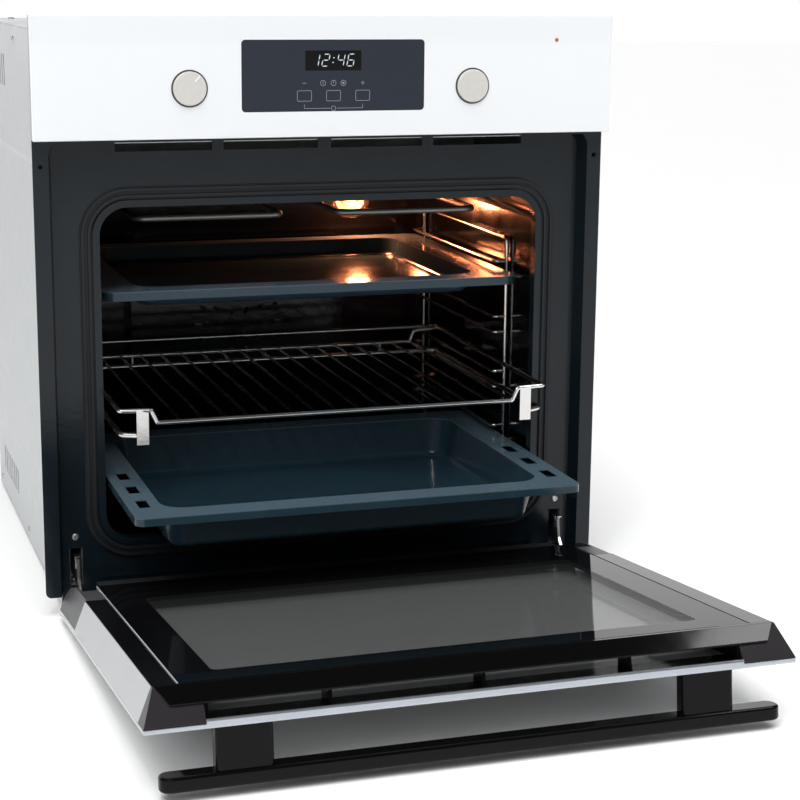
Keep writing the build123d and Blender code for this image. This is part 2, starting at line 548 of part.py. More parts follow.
def lamp_holder():
    """Ceramic socket of the oven lamp, set in the liner's back wall."""
    y = CAVITY_BACK
    socket = along_y(LAMP_X, LAMP_Z, 18.8, y - 0.5, y + 26)
    socket += along_y(LAMP_X, LAMP_Z, 22.5, y + SKIN + 0.1, y + 4)
    socket += block(LAMP_X - 9, LAMP_X + 9, y + 26, y + 34, LAMP_Z - 7, LAMP_Z + 7)
    return socket - along_y(LAMP_X, LAMP_Z, 16.0, y - 2, y + 20)


def lamp_bulb():
    """Small halogen-type bulb in the socket."""
    y = CAVITY_BACK
    bulb = along_y(LAMP_X, LAMP_Z, 7.0, y + 2, y + 20)
    return bulb + Pos(LAMP_X, y + 2, LAMP_Z) * Sphere(9.0)


def lamp_glass():
    """Domed cover that screws over the bulb."""
    y = CAVITY_BACK
    dome = along_y(LAMP_X, LAMP_Z, 24.0, y - 3.0, y - 0.6)
    shell = Pos(LAMP_X, y - 3.0, LAMP_Z) * Sphere(20.0)
    shell &= block(LAMP_X - 30, LAMP_X + 30, y - 17, y - 2.9, LAMP_Z - 30, LAMP_Z + 30)
    hollow = Pos(LAMP_X, y - 3.0, LAMP_Z) * Sphere(17.8)
    return dome + shell - hollow - along_y(LAMP_X, LAMP_Z, 15.0, y - 4, y)


def temperature_probe():
    """Thermostat bulb along the roof, through the back wall."""
    x, z = -LAMP_X + 30, LAMP_Z + 14
    probe = along_y(x, z, 2.2, CAVITY_BACK - 90, CAVITY_BACK + 22)
    return probe + along_y(x, z, 5.0, CAVITY_BACK - 1.4, CAVITY_BACK - 0.1)


# ---------------------------------------------------------------- cooling air and wiring
def air_duct():
    """Flat duct over the insulation that blows out through the slots under the fascia."""
    x1, y0, y1 = RECESS_HALF - 56.0, RECESS + SHEET + 0.1, BLOWER_Y + 44.0
    duct = block(-x1, x1, y0, y1, DUCT_Z0, DUCT_Z1)
    duct -= block(-x1 + 1, x1 - 1, y0 - 1, y1 - 1, DUCT_Z0 + 1, DUCT_Z1 - 1)
    duct -= block(-BLOWER_HALF, BLOWER_HALF, BLOWER_Y - 26, BLOWER_Y + 4, DUCT_Z1 - 2, DUCT_Z1 + 2)
    return duct


def blower_housing():
    """Scroll round the cross-flow rotor, open below into the duct and at the back."""
    x1, r = BLOWER_HALF + 6.0, BLOWER_R + 7.0
    z0 = DUCT_Z1 + 0.1
    shell = along_x(BLOWER_Y, BLOWER_Z, r, -x1, x1) + block(-x1, x1, BLOWER_Y - r, BLOWER_Y + 8,
                                                            z0, BLOWER_Z)
    hollow = along_x(BLOWER_Y, BLOWER_Z, r - 1.2, -x1 + 1.2, x1 - 1.2)
    hollow += block(-x1 + 1.2, x1 - 1.2, BLOWER_Y - r + 1.2, BLOWER_Y + 6.8, z0 - 1, BLOWER_Z)
    shell -= hollow
    shell -= block(-x1 + 8, x1 - 8, BLOWER_Y + 14, BLOWER_Y + r + 4, BLOWER_Z - 16, BLOWER_Z + 16)
    return shell - along_x(BLOWER_Y, BLOWER_Z, 3.06, -x1 - 4, x1 + 4)


def blower_rotor():
    """Cross-flow rotor: end discs, a ring of long blades and the shaft."""
    x1 = BLOWER_HALF
    rotor = along_x(BLOWER_Y, BLOWER_Z, 3.0, -x1 - 10, x1 + 40)
    for x in (-x1, 0.0, x1 - 1.5):
        rotor += along_x(BLOWER_Y, BLOWER_Z, BLOWER_R, x, x + 1.5)
    for i in range(16):
        rotor += Pos(0, BLOWER_Y, BLOWER_Z) * Rot(22.5 * i, 0, 0) * Pos(0, BLOWER_R - 4, 0) \
            * Rot(30, 0, 0) * Box(2 * x1, 7, 0.9)
    return rotor


def blower_motor():
    """Motor at the right end of the rotor."""
    x0 = BLOWER_HALF + 6.5
    motor = block(x0, x0 + 4, BLOWER_Y - 24, BLOWER_Y + 24, BLOWER_Z - 24, BLOWER_Z + 24)
    motor += block(x0 + 4, x0 + 24, BLOWER_Y - 27, BLOWER_Y + 27, BLOWER_Z - 22, BLOWER_Z + 22)
    motor += along_x(BLOWER_Y, BLOWER_Z, 14, x0 + 4, x0 + 36)
    return motor - along_x(BLOWER_Y, BLOWER_Z, 3.06, x0 - 1, x0 + 36 - 1)


def thermal_cutout():
    """Snap-disc safety cut-out on the duct's roof, with two tabs."""
    x, y, z = -160.0, 90.0, DUCT_Z1
    disc = Pos(x, y, z + 4.1) * Cylinder(9, 8) + block(x - 16, x + 16, y - 5, y + 5, z + 0.1, z + 1.2)
    for s in (-4, 4):
        disc += block(x + s - 2.5, x + s + 2.5, y - 0.4, y + 0.4, z + 8.1, z + 16)
    return disc


def terminal_block():
    """Mains terminal block on its bracket inside the back panel."""
    x, y, z = GLAND_X, BODY_DEPTH - SKIN, GLAND_Z + 30.0
    body = block(x - 32, x + 32, y - 30, y - 0.1, z - 10, z + 12)
    for i in range(5):
        xi = x - 24 + 12 * i
        body -= Pos(xi, y - 26, z + 8) * Cylinder(3.4, 16)
        body += Pos(xi, y - 26, z + 3) * Cylinder(2.6, 7)
    return body


def cable_gland():
    """Open grommet in the back panel, where the supply cable would enter."""
    y = BODY_DEPTH
    gland = along_y(GLAND_X, GLAND_Z, 7.9, y - 8, y + 8)
    gland += along_y(GLAND_X, GLAND_Z, 11.0, y + 0.1, y + 4)
    gland += along_y(GLAND_X, GLAND_Z, 10.0, y - SKIN - 4, y - SKIN - 0.1)
    return gland - along_y(GLAND_X, GLAND_Z, 4.5, y - 9, y + 9)


def wiring_loom():
    """Bundled conductors from the terminal block to the control module and the switches."""
    z, y1 = BODY_TOP - 14.0, BODY_DEPTH - 46.0
    zc = WINDOW_Z0 + WINDOW_H / 2
    trunk = bent([(GLAND_X, y1, GLAND_Z + 30), (GLAND_X, y1, z), (GLAND_X, 70, z),
                  (0, 70, z), (0, 70, zc), (0, 26.3, zc)], 3.2, 12)
    for x in (-KNOB_X, KNOB_X):
        trunk += bent([(0, 70, z - 3), (x * 0.999, 70, z - 3), (x * 0.999, 70, FASCIA_MID),
                       (x * 0.999, 50, FASCIA_MID)], 2.0, 10)
    return trunk


# ---------------------------------------------------------------- hinges
def hinge_bracket():
    """Right-hand fixed arm: a plate from the housing, through the frame, to the hinge pin."""
    x0, x1 = HINGE_X - 1.5, HINGE_X + 1.5
    top, y1 = 54.0, 140.0
    arm = prism_x([(-9, 3.9), (-14, 3.9), (-20, 10), (-14, 16.1), (2, 34), (6, top), (y1, top),
                   (y1, 30), (24, 30), (14, 22)], x0, x1)
    arm += along_x(PIVOT_Y, PIVOT_Z, 6.2, x0, x1)
    arm -= along_x(PIVOT_Y, PIVOT_Z, 3.06, x0 - 1, x1 + 1)
    arm -= along_x(LATCH_Y, LATCH_Z, 2.05, x0 - 1, x1 + 1)
    return arm


def hinge_housing():
    """Right-hand channel behind the frame that holds the arm and its spring."""
    x0, x1, y0 = HINGE_X - 7.5, HINGE_X + 7.5, RECESS + SHEET + 0.1
    shell = block(x0, x1, y0, 150, 20, 64) - block(x0 + 1.5, x1 - 1.5, y0 - 1, 148.5, 21.5, 62.5)
    shell += block(x0, HINGE_X - 1.6, 110, 116, 36, 48) + block(HINGE_X + 1.6, x1, 110, 116, 36, 48)
    return shell - block(x0 - 1, x0 + 20, 60, 96, 10, 22)


def hinge_springs():
    """Two coil springs, one in each hinge housing, of wire drawn with twelve flats."""
    path = Helix(pitch=4.2, height=70, radius=2.65, center=(0, 0, 0), direction=(0, 1, 0))
    start = path @ 0
    wire = RegularPolygon(radius=1.28, side_count=12)
    coil = sweep(Plane(origin=start, z_dir=path % 0) * wire, path=path)
    springs = None
    for s in (-1, 1):
        one = Pos(s * HINGE_X, 32, 25.8) * coil
        springs = one if springs is None else springs + one
    return springs


def hinge_latch():
    """Right-hand locking clip that straddles the arm and flips over to hold it for removal."""
    x = HINGE_X
    clip = None
    for s in (-1, 1):
        a, b = sorted((x + s * 1.65, x + s * 2.55))
        cheek = prism_x([(LATCH_Y - 3, LATCH_Z - 4), (LATCH_Y + 4, LATCH_Z - 4),
                         (LATCH_Y + 4, LATCH_Z + 10.5), (LATCH_Y - 3, LATCH_Z + 10.5)], a, b)
        clip = cheek if clip is None else clip + cheek
    clip += block(x - 2.55, x + 2.55, LATCH_Y - 9, LATCH_Y + 4, LATCH_Z + 9.5, LATCH_Z + 10.5)
    return clip + along_x(LATCH_Y, LATCH_Z, 2.0, x - 2.55, x + 2.55)


# ---------------------------------------------------------------- door, drawn shut
def door_outer_glass():
    """Large outer pane, held off the frame by the door's sides."""
    pane = block(-DOOR_HALF, DOOR_HALF, DOOR_FRONT, DOOR_FRONT + GLASS, PANE_BOTTOM, DOOR_TOP - 1.7)
    pane = chamfer(pane.faces().sort_by(Axis.Y)[0].edges(), 0.8)
    for x in (-HANDLE_LEG_X, HANDLE_LEG_X):
        pane -= along_y(x, HANDLE_Z, 3.2, DOOR_FRONT - 1, DOOR_FRONT + GLASS + 1)
    return pane


def door_middle_glass():
    """Heat-reflecting pane between the other two."""
    return block(-INNER_HALF + 17, INNER_HALF - 17, -4.0, 0.0, 48.0, INNER_TOP - 8)


def door_inner_glass():
    """Inner pane, facing the cavity."""
    pane = block(-INNER_HALF, INNER_HALF, DOOR_BACK - GLASS, DOOR_BACK, 46.0, INNER_TOP)
    return chamfer(pane.faces().sort_by(Axis.Y)[-1].edges(), 0.5)


def side_section(t, inner_edge):
    """Plan outline of the right side channel: slanted wall and a flat top beside the pane."""
    y0, y1 = DOOR_FRONT + GLASS + 0.05, DOOR_BACK
    xo, xi = DOOR_HALF, DOOR_HALF - SIDE_TAPER
    return [(xo, y0), (xi, y1), (inner_edge, y1), (inner_edge, y1 - t), (xi - t, y1 - t),
            (xo - 2.3 * t, y0 + t), (xo - 20, y0 + t), (xo - 20, y0)]


def door_side():
    """Right side channel of the door, above the hinge corner."""
    side = prism_z(side_section(1.5, INNER_HALF + 1.6), 112.0, DOOR_TOP - 24.2)
    return side + block(INNER_HALF + 1.6, INNER_HALF + 3.1, 2.0, DOOR_BACK - 1, 112.0, DOOR_TOP - 24.2)


def door_corner():
    """Right lower corner cover over the hinge yoke, with a rounded end."""
    y0, y1 = DOOR_FRONT + GLASS + 0.05, DOOR_BACK
    xo, xi, t = DOOR_HALF - 1.5, DOOR_HALF - SIDE_TAPER - 1.5, 2.0
    cover = prism_z([(xo, y0), (xi, y1), (xi - t, y1), (xo - t, y0)], 8.0, 111.8)
    cover += prism_z([(xi, y1 - t), (xi, y1), (INNER_HALF + 1.6, y1), (INNER_HALF + 1.6, y1 - t)],
                     66.0, 111.8)
    cover &= prism_x([(y0, 8), (-2, 8), (8, 20), (y1 - 1, 40), (y1, 60), (y1, 111.8), (y0, 111.8)],
                     INNER_HALF - 10, DOOR_HALF + 5)
    return cover


def door_top_trim():
    """Glossy bar over the door's air outlet, on three ribs and a foot plate."""
    y1, z1 = DOOR_BACK, DOOR_TOP
    x1 = DOOR_HALF - SIDE_TAPER
    bar = prism_x([(y1, z1 - 24), (y1, z1 - 20), (0.5, z1 - 8), (-1.0, z1 - 8), (-1.0, z1 - 11),
                   (y1 - 4.5, z1 - 21), (y1 - 4.5, z1 - 24)], -x1, x1)
    cut = prism_z([(x1 + 2, -1.6), (x1 - 12.9, -1.6), (x1 - 0.5, y1 + 0.2), (x1 + 2, y1 + 0.2)],
                  z1 - 30, z1 + 5)
    bar -= both(cut)
    foot = DOOR_FRONT + GLASS + 0.05
    trim = bar + block(-CAP_X, CAP_X, foot, foot + 1.2, z1 - 34, z1 - 3)
    for x in (-CAP_X + 1.5, -CAP_X * 0.56, 0.0, CAP_X * 0.56, CAP_X - 1.5):
        trim += prism_x([(foot + 1, z1 - 30), (foot + 1, z1 - 6), (-0.5, z1 - 9), (y1 - 5, z1 - 22),
                         (y1 - 5, z1 - 24), (-0.5, z1 - 30)], x - 1.5, x + 1.5)
    return trim - both(along_y(HANDLE_LEG_X, HANDLE_Z, 2.2, foot - 1, foot + 3))


def door_end_cap():
    """Right end cap: a slanted block that closes the trim and meets the side channel."""
    y0, y1, z1 = DOOR_FRONT + GLASS + 0.05, DOOR_BACK, DOOR_TOP
    x1 = DOOR_HALF - SIDE_TAPER
    cap = prism_z([(CAP_X + 0.05, y0), (DOOR_HALF, y0), (x1 + 0.3, y1), (x1 - 0.3, y1), (x1 - 12.6, -1.3),
                   (CAP_X + 0.05, -1.3)], z1 - 24, z1)
    cap &= prism_x([(y0 - 1, z1 - 25), (y0 - 1, z1 - 1), (y0 + 2, z1 - 1), (y1 + 1, z1 - 19),
                    (y1 + 1, z1 - 25)], CAP_X - 1, DOOR_HALF + 1)
    return cap


def door_edge_strip():
    """Bright convex strip that caps the outer pane's upper edge."""
    y0, z1 = DOOR_FRONT, DOOR_TOP
    section = [(y0, z1 - 1.6), (y0 + 0.2, z1 - 0.7), (y0 + 1.6, z1), (y0 + 6.2, z1), (y0 + 7.6, z1 - 0.7),
               (y0 + 7.8, z1 - 1.6)]
    strip = prism_x(section + [(y0 + 7.8, z1 - 2.7), (y0 + 6.6, z1 - 2.7), (y0 + 6.6, z1 - 1.6)],
                    -CAP_X, CAP_X)
    end = prism_x([(y0, z1 - 1.6), (y0 + 0.2, z1 - 0.7), (y0 + 1.6, z1), (y0 + GLASS, z1),
                   (y0 + GLASS, z1 - 1.6)], CAP_X, DOOR_HALF - 0.8)
    return strip + both(end)


def door_bottom_rail():
    """Folded rail along the door's lower edge, with air inlet slots."""
    y0, y1, x1 = DOOR_FRONT + GLASS + 0.05, DOOR_BACK - GLASS, INNER_HALF - 6.0
    rail = prism_x([(y0, 7), (y1, 7), (y1, 46), (y1 - 1.5, 46), (y1 - 1.5, 8.5), (y0 + 1.5, 8.5),
                    (y0 + 1.5, 30), (y0, 30)], -x1, x1)
    rail += block(-x1, x1, DOOR_FRONT + 0.5, y0 + 1.5, 6.5, PANE_BOTTOM - 0.2)
    for i in range(15):
        x = (-7 + i) * x1 / 7.6
        rail -= block(x - 10, x + 10, y0 + 6, y1 - 6, 5, 10)
    return rail


def glass_holders():
    """Four moulded blocks that carry the inner and middle panes."""
    holder = block(INNER_HALF - 16.9, INNER_HALF - 4, DOOR_FRONT + GLASS + 0.05, DOOR_BACK - GLASS,
                   52.0, 74.0)
    upper = block(INNER_HALF - 16.9, INNER_HALF - 4, DOOR_FRONT + GLASS + 0.05, DOOR_BACK - GLASS,
                  INNER_TOP - 36.0, INNER_TOP - 14.0)
    return both(holder + upper)


def hinge_yoke():
    """Right hinge body in the door: two cheeks that hold the pin, joined by a web."""
    y0, y1 = -11.0, 4.0
    yoke = None
    for a, b in ((HINGE_X - 5.6, HINGE_X - 3.6), (HINGE_X + 3.6, HINGE_X + 5.6)):
        cheek = prism_x([(PIVOT_Y + 5.5, 4.8), (PIVOT_Y + 5.5, 20), (y1, 40), (y1, 150), (y0, 150),
                         (y0, 30), (-15.5, 22), (-15.5, 7)], a, b)
        cheek += along_x(PIVOT_Y + 4.0, PIVOT_Z, 5.4, a, b)
        yoke = cheek if yoke is None else yoke + cheek
    yoke += block(HINGE_X - 5.6, HINGE_X + 5.6, y0, y0 + 2, 60, 150)
    yoke -= along_x(PIVOT_Y, PIVOT_Z, 3.0, HINGE_X - 9, HINGE_X + 9)
    return yoke & block(HINGE_X - 9, HINGE_X + 9, DOOR_FRONT + GLASS + 0.1, 20, 0, 200)


def hinge_pins():
    """The two pins the door swings on, riveted into the yokes."""
    pin = along_x(PIVOT_Y, PIVOT_Z, 3.0, HINGE_X - 6.2, HINGE_X + 6.2)
    return both(pin)


def handle_bar():
    """Full-width bar with rounded ends."""
    y1 = DOOR_FRONT - HANDLE_STANDOFF
    y0, x1 = y1 - 13.0, DOOR_HALF - 12.5
    bar = block(-x1, x1, y0, y1, HANDLE_Z - 11, HANDLE_Z + 11)
    bar = fillet(bar.edges().filter_by(Axis.Y), 10.0)
    return fillet(bar.faces().sort_by(Axis.Y)[0].edges() + bar.faces().sort_by(Axis.Y)[-1].edges(), 2.5)


def handle_legs():
    """Two spacers between the outer pane and the bar, with the screws that hold them."""
    y0, y1 = DOOR_FRONT - HANDLE_STANDOFF + 0.05, DOOR_FRONT - 0.05
    leg = block(HANDLE_LEG_X - 24, HANDLE_LEG_X + 24, y0, y1, HANDLE_Z - 8, HANDLE_Z + 8)
    leg = fillet(leg.edges().filter_by(Axis.Y), 4.0)
    seat = DOOR_FRONT + GLASS + 1.3
    leg += along_y(HANDLE_LEG_X, HANDLE_Z, 2.0, y1 - 1, seat + 1)
    leg += along_y(HANDLE_LEG_X, HANDLE_Z, 5.0, seat, seat + 3)
    return both(leg)


# ---------------------------------------------------------------- write every piece
def right_and_left(name, solid):
    """Save a right-hand piece and its mirror image."""
    save(name + "_right", solid)
    save(name + "_left", mirror(solid, about=Plane.YZ))


def main():
    os.makedirs("parts", exist_ok=True)
    save("front_frame", front_frame())
    save("cavity_liner", cavity_liner())
    save("insulation", insulation())
    save("side_panels", both(side_panel()))
    save("top_cover", top_cover())
    save("back_panel", back_panel())
    save("base_panel", base_panel())
    save("fascia_glass", fascia_glass())
    save("fascia_frame", fascia_frame())
    save("display_window", display_window())
    save("control_module", control_module())
    save("indicator_lamp", indicator_lamp())
    save("knob_rings", knob_rings())
    save("selector_knob", knob(-1))
    save("thermostat_knob", knob(1))
    save("selector_shaft", knob_shaft(-1))
    save("thermostat_shaft", knob_shaft(1))
    save("selector_switch", switch_body(-1, 44.0, 38.0))
    save("thermostat_body", switch_body(1, 36.0, 34.0))
    save("door_gasket", door_gasket())
    save("side_supports", both(side_support()))
    save("wire_rack", wire_rack())
    save("shallow_tray", shallow_tray())
    save("deep_pan", deep_pan())
    save("grill_element", grill_element())
    save("ring_element", ring_element())
    save("bottom_element", bottom_element())
    save("fan_cover", fan_cover())
    save("convection_fan", convection_fan())
    save("fan_motor", fan_motor())
    save("lamp_holder", lamp_holder())
    save("lamp_bulb", lamp_bulb())
    save("lamp_glass", lamp_glass())
    save("temperature_probe", temperature_probe())
    save("air_duct", air_duct())
    save("blower_housing", blower_housing())
    save("blower_rotor", blower_rotor())
    save("blower_motor", blower_motor())
    save("thermal_cutout", thermal_cutout())
    save("terminal_block", terminal_block())
    save("cable_gland", cable_gland())
    save("wiring_loom", wiring_loom())
    save("hinge_brackets", both(hinge_bracket()))
    save("hinge_housings", both(hinge_housing()))
    save("hinge_springs", hinge_springs())
    right_and_left("hinge_latch", hinge_latch())
    save("door_outer_glass", turned_open(door_outer_glass()))
    save("door_middle_glass", turned_open(door_middle_glass()))
    save("door_inner_glass", turned_open(door_inner_glass()))
    save("door_sides", turned_open(both(door_side())))
    save("door_corners", turned_open(both(door_corner())))
    save("door_top_trim", turned_open(door_top_trim()))
    save("door_end_caps", turned_open(both(door_end_cap())))
    save("door_edge_strip", turned_open(door_edge_strip()))
    save("door_bottom_rail", turned_open(door_bottom_rail()))
    save("glass_holders", turned_open(glass_holders()))
    save("hinge_yokes", turned_open(both(hinge_yoke()) + hinge_pins()))
    save("handle_bar", turned_open(handle_bar()))
    save("handle_legs", turned_open(handle_legs()))


main()
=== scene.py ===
# %% [markdown]
# # A built-in oven with its door down
# The oven arrives as sixty named metal, glass and plastic pieces that are already in place, in
# metres. Nothing here moves them. What a renderer needs, and what this lesson adds, is a camera,
# light, a finish for every piece, and the small printed and pressed details that a machine
# drawing leaves out.

# %% Load the frame
import json
import math
import bpy
from mathutils import Matrix, Vector


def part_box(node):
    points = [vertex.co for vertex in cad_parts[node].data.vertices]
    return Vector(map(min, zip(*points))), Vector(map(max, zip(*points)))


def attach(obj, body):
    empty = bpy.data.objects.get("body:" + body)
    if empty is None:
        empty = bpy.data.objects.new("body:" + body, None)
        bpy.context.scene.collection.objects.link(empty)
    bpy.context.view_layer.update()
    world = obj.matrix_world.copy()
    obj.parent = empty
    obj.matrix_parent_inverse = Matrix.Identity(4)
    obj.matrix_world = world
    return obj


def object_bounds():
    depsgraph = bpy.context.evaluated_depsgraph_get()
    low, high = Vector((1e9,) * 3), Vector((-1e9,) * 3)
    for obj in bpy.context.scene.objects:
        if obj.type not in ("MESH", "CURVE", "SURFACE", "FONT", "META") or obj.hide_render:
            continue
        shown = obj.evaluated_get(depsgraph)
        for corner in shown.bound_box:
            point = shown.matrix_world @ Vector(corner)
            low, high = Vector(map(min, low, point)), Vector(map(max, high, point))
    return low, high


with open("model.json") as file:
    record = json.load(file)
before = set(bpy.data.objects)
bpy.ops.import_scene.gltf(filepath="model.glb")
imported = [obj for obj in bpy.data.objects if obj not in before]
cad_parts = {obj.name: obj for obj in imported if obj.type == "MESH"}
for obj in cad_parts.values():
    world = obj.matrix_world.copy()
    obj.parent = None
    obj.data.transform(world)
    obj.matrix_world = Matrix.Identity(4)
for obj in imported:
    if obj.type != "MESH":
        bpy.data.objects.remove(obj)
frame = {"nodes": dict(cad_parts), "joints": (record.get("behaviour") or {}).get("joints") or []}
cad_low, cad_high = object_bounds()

nodes = frame["nodes"]
print("pieces in the frame:", len(nodes))
print("overall size in mm:", [round(1000 * s) for s in cad_high - cad_low])

# %% [markdown]
# ## Where things are
# The white control fascia and the display pane give every printed mark its place, so their
# corners are read from the pieces once and kept under plain names. The door is stored open, lying
# almost level. It is easier to think of a pane as it stands when shut, so the hinge line and the
# angle that the door stands open by are kept too.

# %% Landmarks
fascia_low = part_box("fascia_glass")[0]
window_low, window_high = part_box("display_window")
hinge = next(j for j in frame["joints"] if j["name"] == "door_hinge")
hinge_line = Vector(hinge["pos_m"])
door_angle = math.radians(hinge["range_deg"][1])
print("door stands open by", round(math.degrees(door_angle), 1), "degrees")

# %% [markdown]
# ## The camera
# The view is that of a shop catalogue: from the left, a little above the fascia, with a long lens
# so that the front stays nearly square. The sight line is built from three turns, in the order in
# which a tripod head makes them: pan, tilt, and a touch of roll.

# %% Camera
lens = bpy.data.cameras.new("view_camera")
lens.sensor_width = 36.0
lens.lens = 87.03
camera = bpy.data.objects.new("view_camera", lens)
bpy.context.scene.collection.objects.link(camera)
pan, tilt, roll = math.radians(-18.14), math.radians(90 - 12.54), math.radians(0.51)
standpoint = Vector((-0.538, -1.878, 0.639))
camera.matrix_world = (Matrix.Translation(standpoint) @ Matrix.Rotation(pan, 4, "Z")
                       @ Matrix.Rotation(tilt, 4, "X") @ Matrix.Rotation(roll, 4, "Z"))
bpy.context.scene.camera = camera
print("camera stands", round(standpoint.length, 2), "m from the oven's lower front edge")

# %% [markdown]
# ## Floor and light
# Gloss enamel and glass show little of their own colour: what the eye reads is the room
# reflected in them. So the room is kept simple. A pale floor runs under everything, and a wide,
# soft overall light keeps it even. The camera sees the room as plain white. What the oven reflects
# is a dim room that brightens only towards the far wall, which shows as a pale wedge in the door's
# glass. One broad light stands in front, and two small bright ones put glints on rims, wires and
# the door's top bar.

# %% Floor and studio lights
gap_below_oven = 0.004
bpy.ops.mesh.primitive_plane_add(size=30, location=(0, 0, cad_low.z - gap_below_oven))
floor = bpy.context.object
floor.name = "studio_floor"

bpy.context.scene.view_settings.view_transform = "Standard"
world = bpy.data.worlds.new("studio")
bpy.context.scene.world = world
world.use_nodes = True
web = world.node_tree
background = web.nodes["Background"]
background.inputs["Color"].default_value = (1, 1, 1, 1)
sight = web.nodes.new("ShaderNodeTexCoord")
sight_axes = web.nodes.new("ShaderNodeSeparateXYZ")
web.links.new(sight.outputs["Generated"], sight_axes.inputs[0])
far_wall = web.nodes.new("ShaderNodeMapRange")
far_wall.interpolation_type = "SMOOTHSTEP"
wall_limits = {"From Min": 0.45, "From Max": 0.90, "To Min": 0.09, "To Max": 1.30}
for limit, value in wall_limits.items():
    far_wall.inputs[limit].default_value = value
web.links.new(sight_axes.outputs["Y"], far_wall.inputs["Value"])
seen = web.nodes.new("ShaderNodeLightPath")
brightness = web.nodes.new("ShaderNodeMix")
web.links.new(seen.outputs["Is Camera Ray"], brightness.inputs["Factor"])
web.links.new(far_wall.outputs["Result"], brightness.inputs["A"])
brightness.inputs["B"].default_value = 1.0
web.links.new(brightness.outputs["Result"], background.inputs["Strength"])


def soft_light(name, place, target, width, height, watts):
    """A rectangular studio light that faces its target."""
    light = bpy.data.lights.new(name, "AREA")
    light.shape, light.size, light.size_y = "RECTANGLE", width, height
    light.energy = watts
    stand = bpy.data.objects.new(name, light)
    bpy.context.scene.collection.objects.link(stand)
    stand.location = place
    stand.rotation_euler = (Vector(target) - Vector(place)).to_track_quat("-Z", "Y").to_euler()
    stand.visible_camera = False


soft_light("front_light", (-1.6, -2.6, 2.2), (0, 0, 0.3), 2.4, 1.8, 34)
soft_light("right_light", (1.30, -0.85, 1.75), (0.2, -0.4, 0.1), 0.30, 0.50, 8)
soft_light("spark_light", (-0.75, -1.3, 1.9), (0.1, -0.1, 0.1), 0.16, 0.16, 6)

sky = bpy.data.lights.new("overall_light", "SUN")
sky.energy, sky.angle = 3.1, math.radians(50)
sky_stand = bpy.data.objects.new("overall_light", sky)
bpy.context.scene.collection.objects.link(sky_stand)
sky_stand.rotation_euler = Vector((0.16, 0.26, -1.0)).to_track_quat("-Z", "Y").to_euler()
sky_stand.visible_glossy = False
print("room brightness from", wall_limits["To Min"], "to", wall_limits["To Max"])

# %% [markdown]
# ## A small language for finishes
# A finish is a sum: a base colour, plus fine noise, plus a mask where a print begins. Blender
# draws such sums as a web of nodes, which is slow to read. Here one class wraps a socket, so
# that `1 - mask` or `noise * 0.2 + 0.1` adds the Math nodes by itself. A second class holds the
# material and makes any other node.

# %% Term and Finish


class Term:
    """One value in a finish. Python's operators on it add Math nodes."""

    def __init__(self, finish, socket):
        self.finish, self.socket = finish, socket

    def math(self, operation, *others):
        return self.finish.node("ShaderNodeMath", {"operation": operation},
                                dict(enumerate((self, *others))))

    def __add__(self, other):
        return self.math("ADD", other)

    def __mul__(self, other):
        return self.math("MULTIPLY", other)

    def __sub__(self, other):
        return self.math("SUBTRACT", other)

    def __rsub__(self, other):
        return self.math("MULTIPLY_ADD", -1.0, other)

    def __gt__(self, other):
        return self.math("GREATER_THAN", other)

    def __lt__(self, other):
        return self.math("LESS_THAN", other)

    def __abs__(self):
        return self.math("ABSOLUTE")

    def root(self):
        return self.math("SQRT")

    def sine(self):
        return self.math("SINE")

    __radd__, __rmul__ = __add__, __mul__


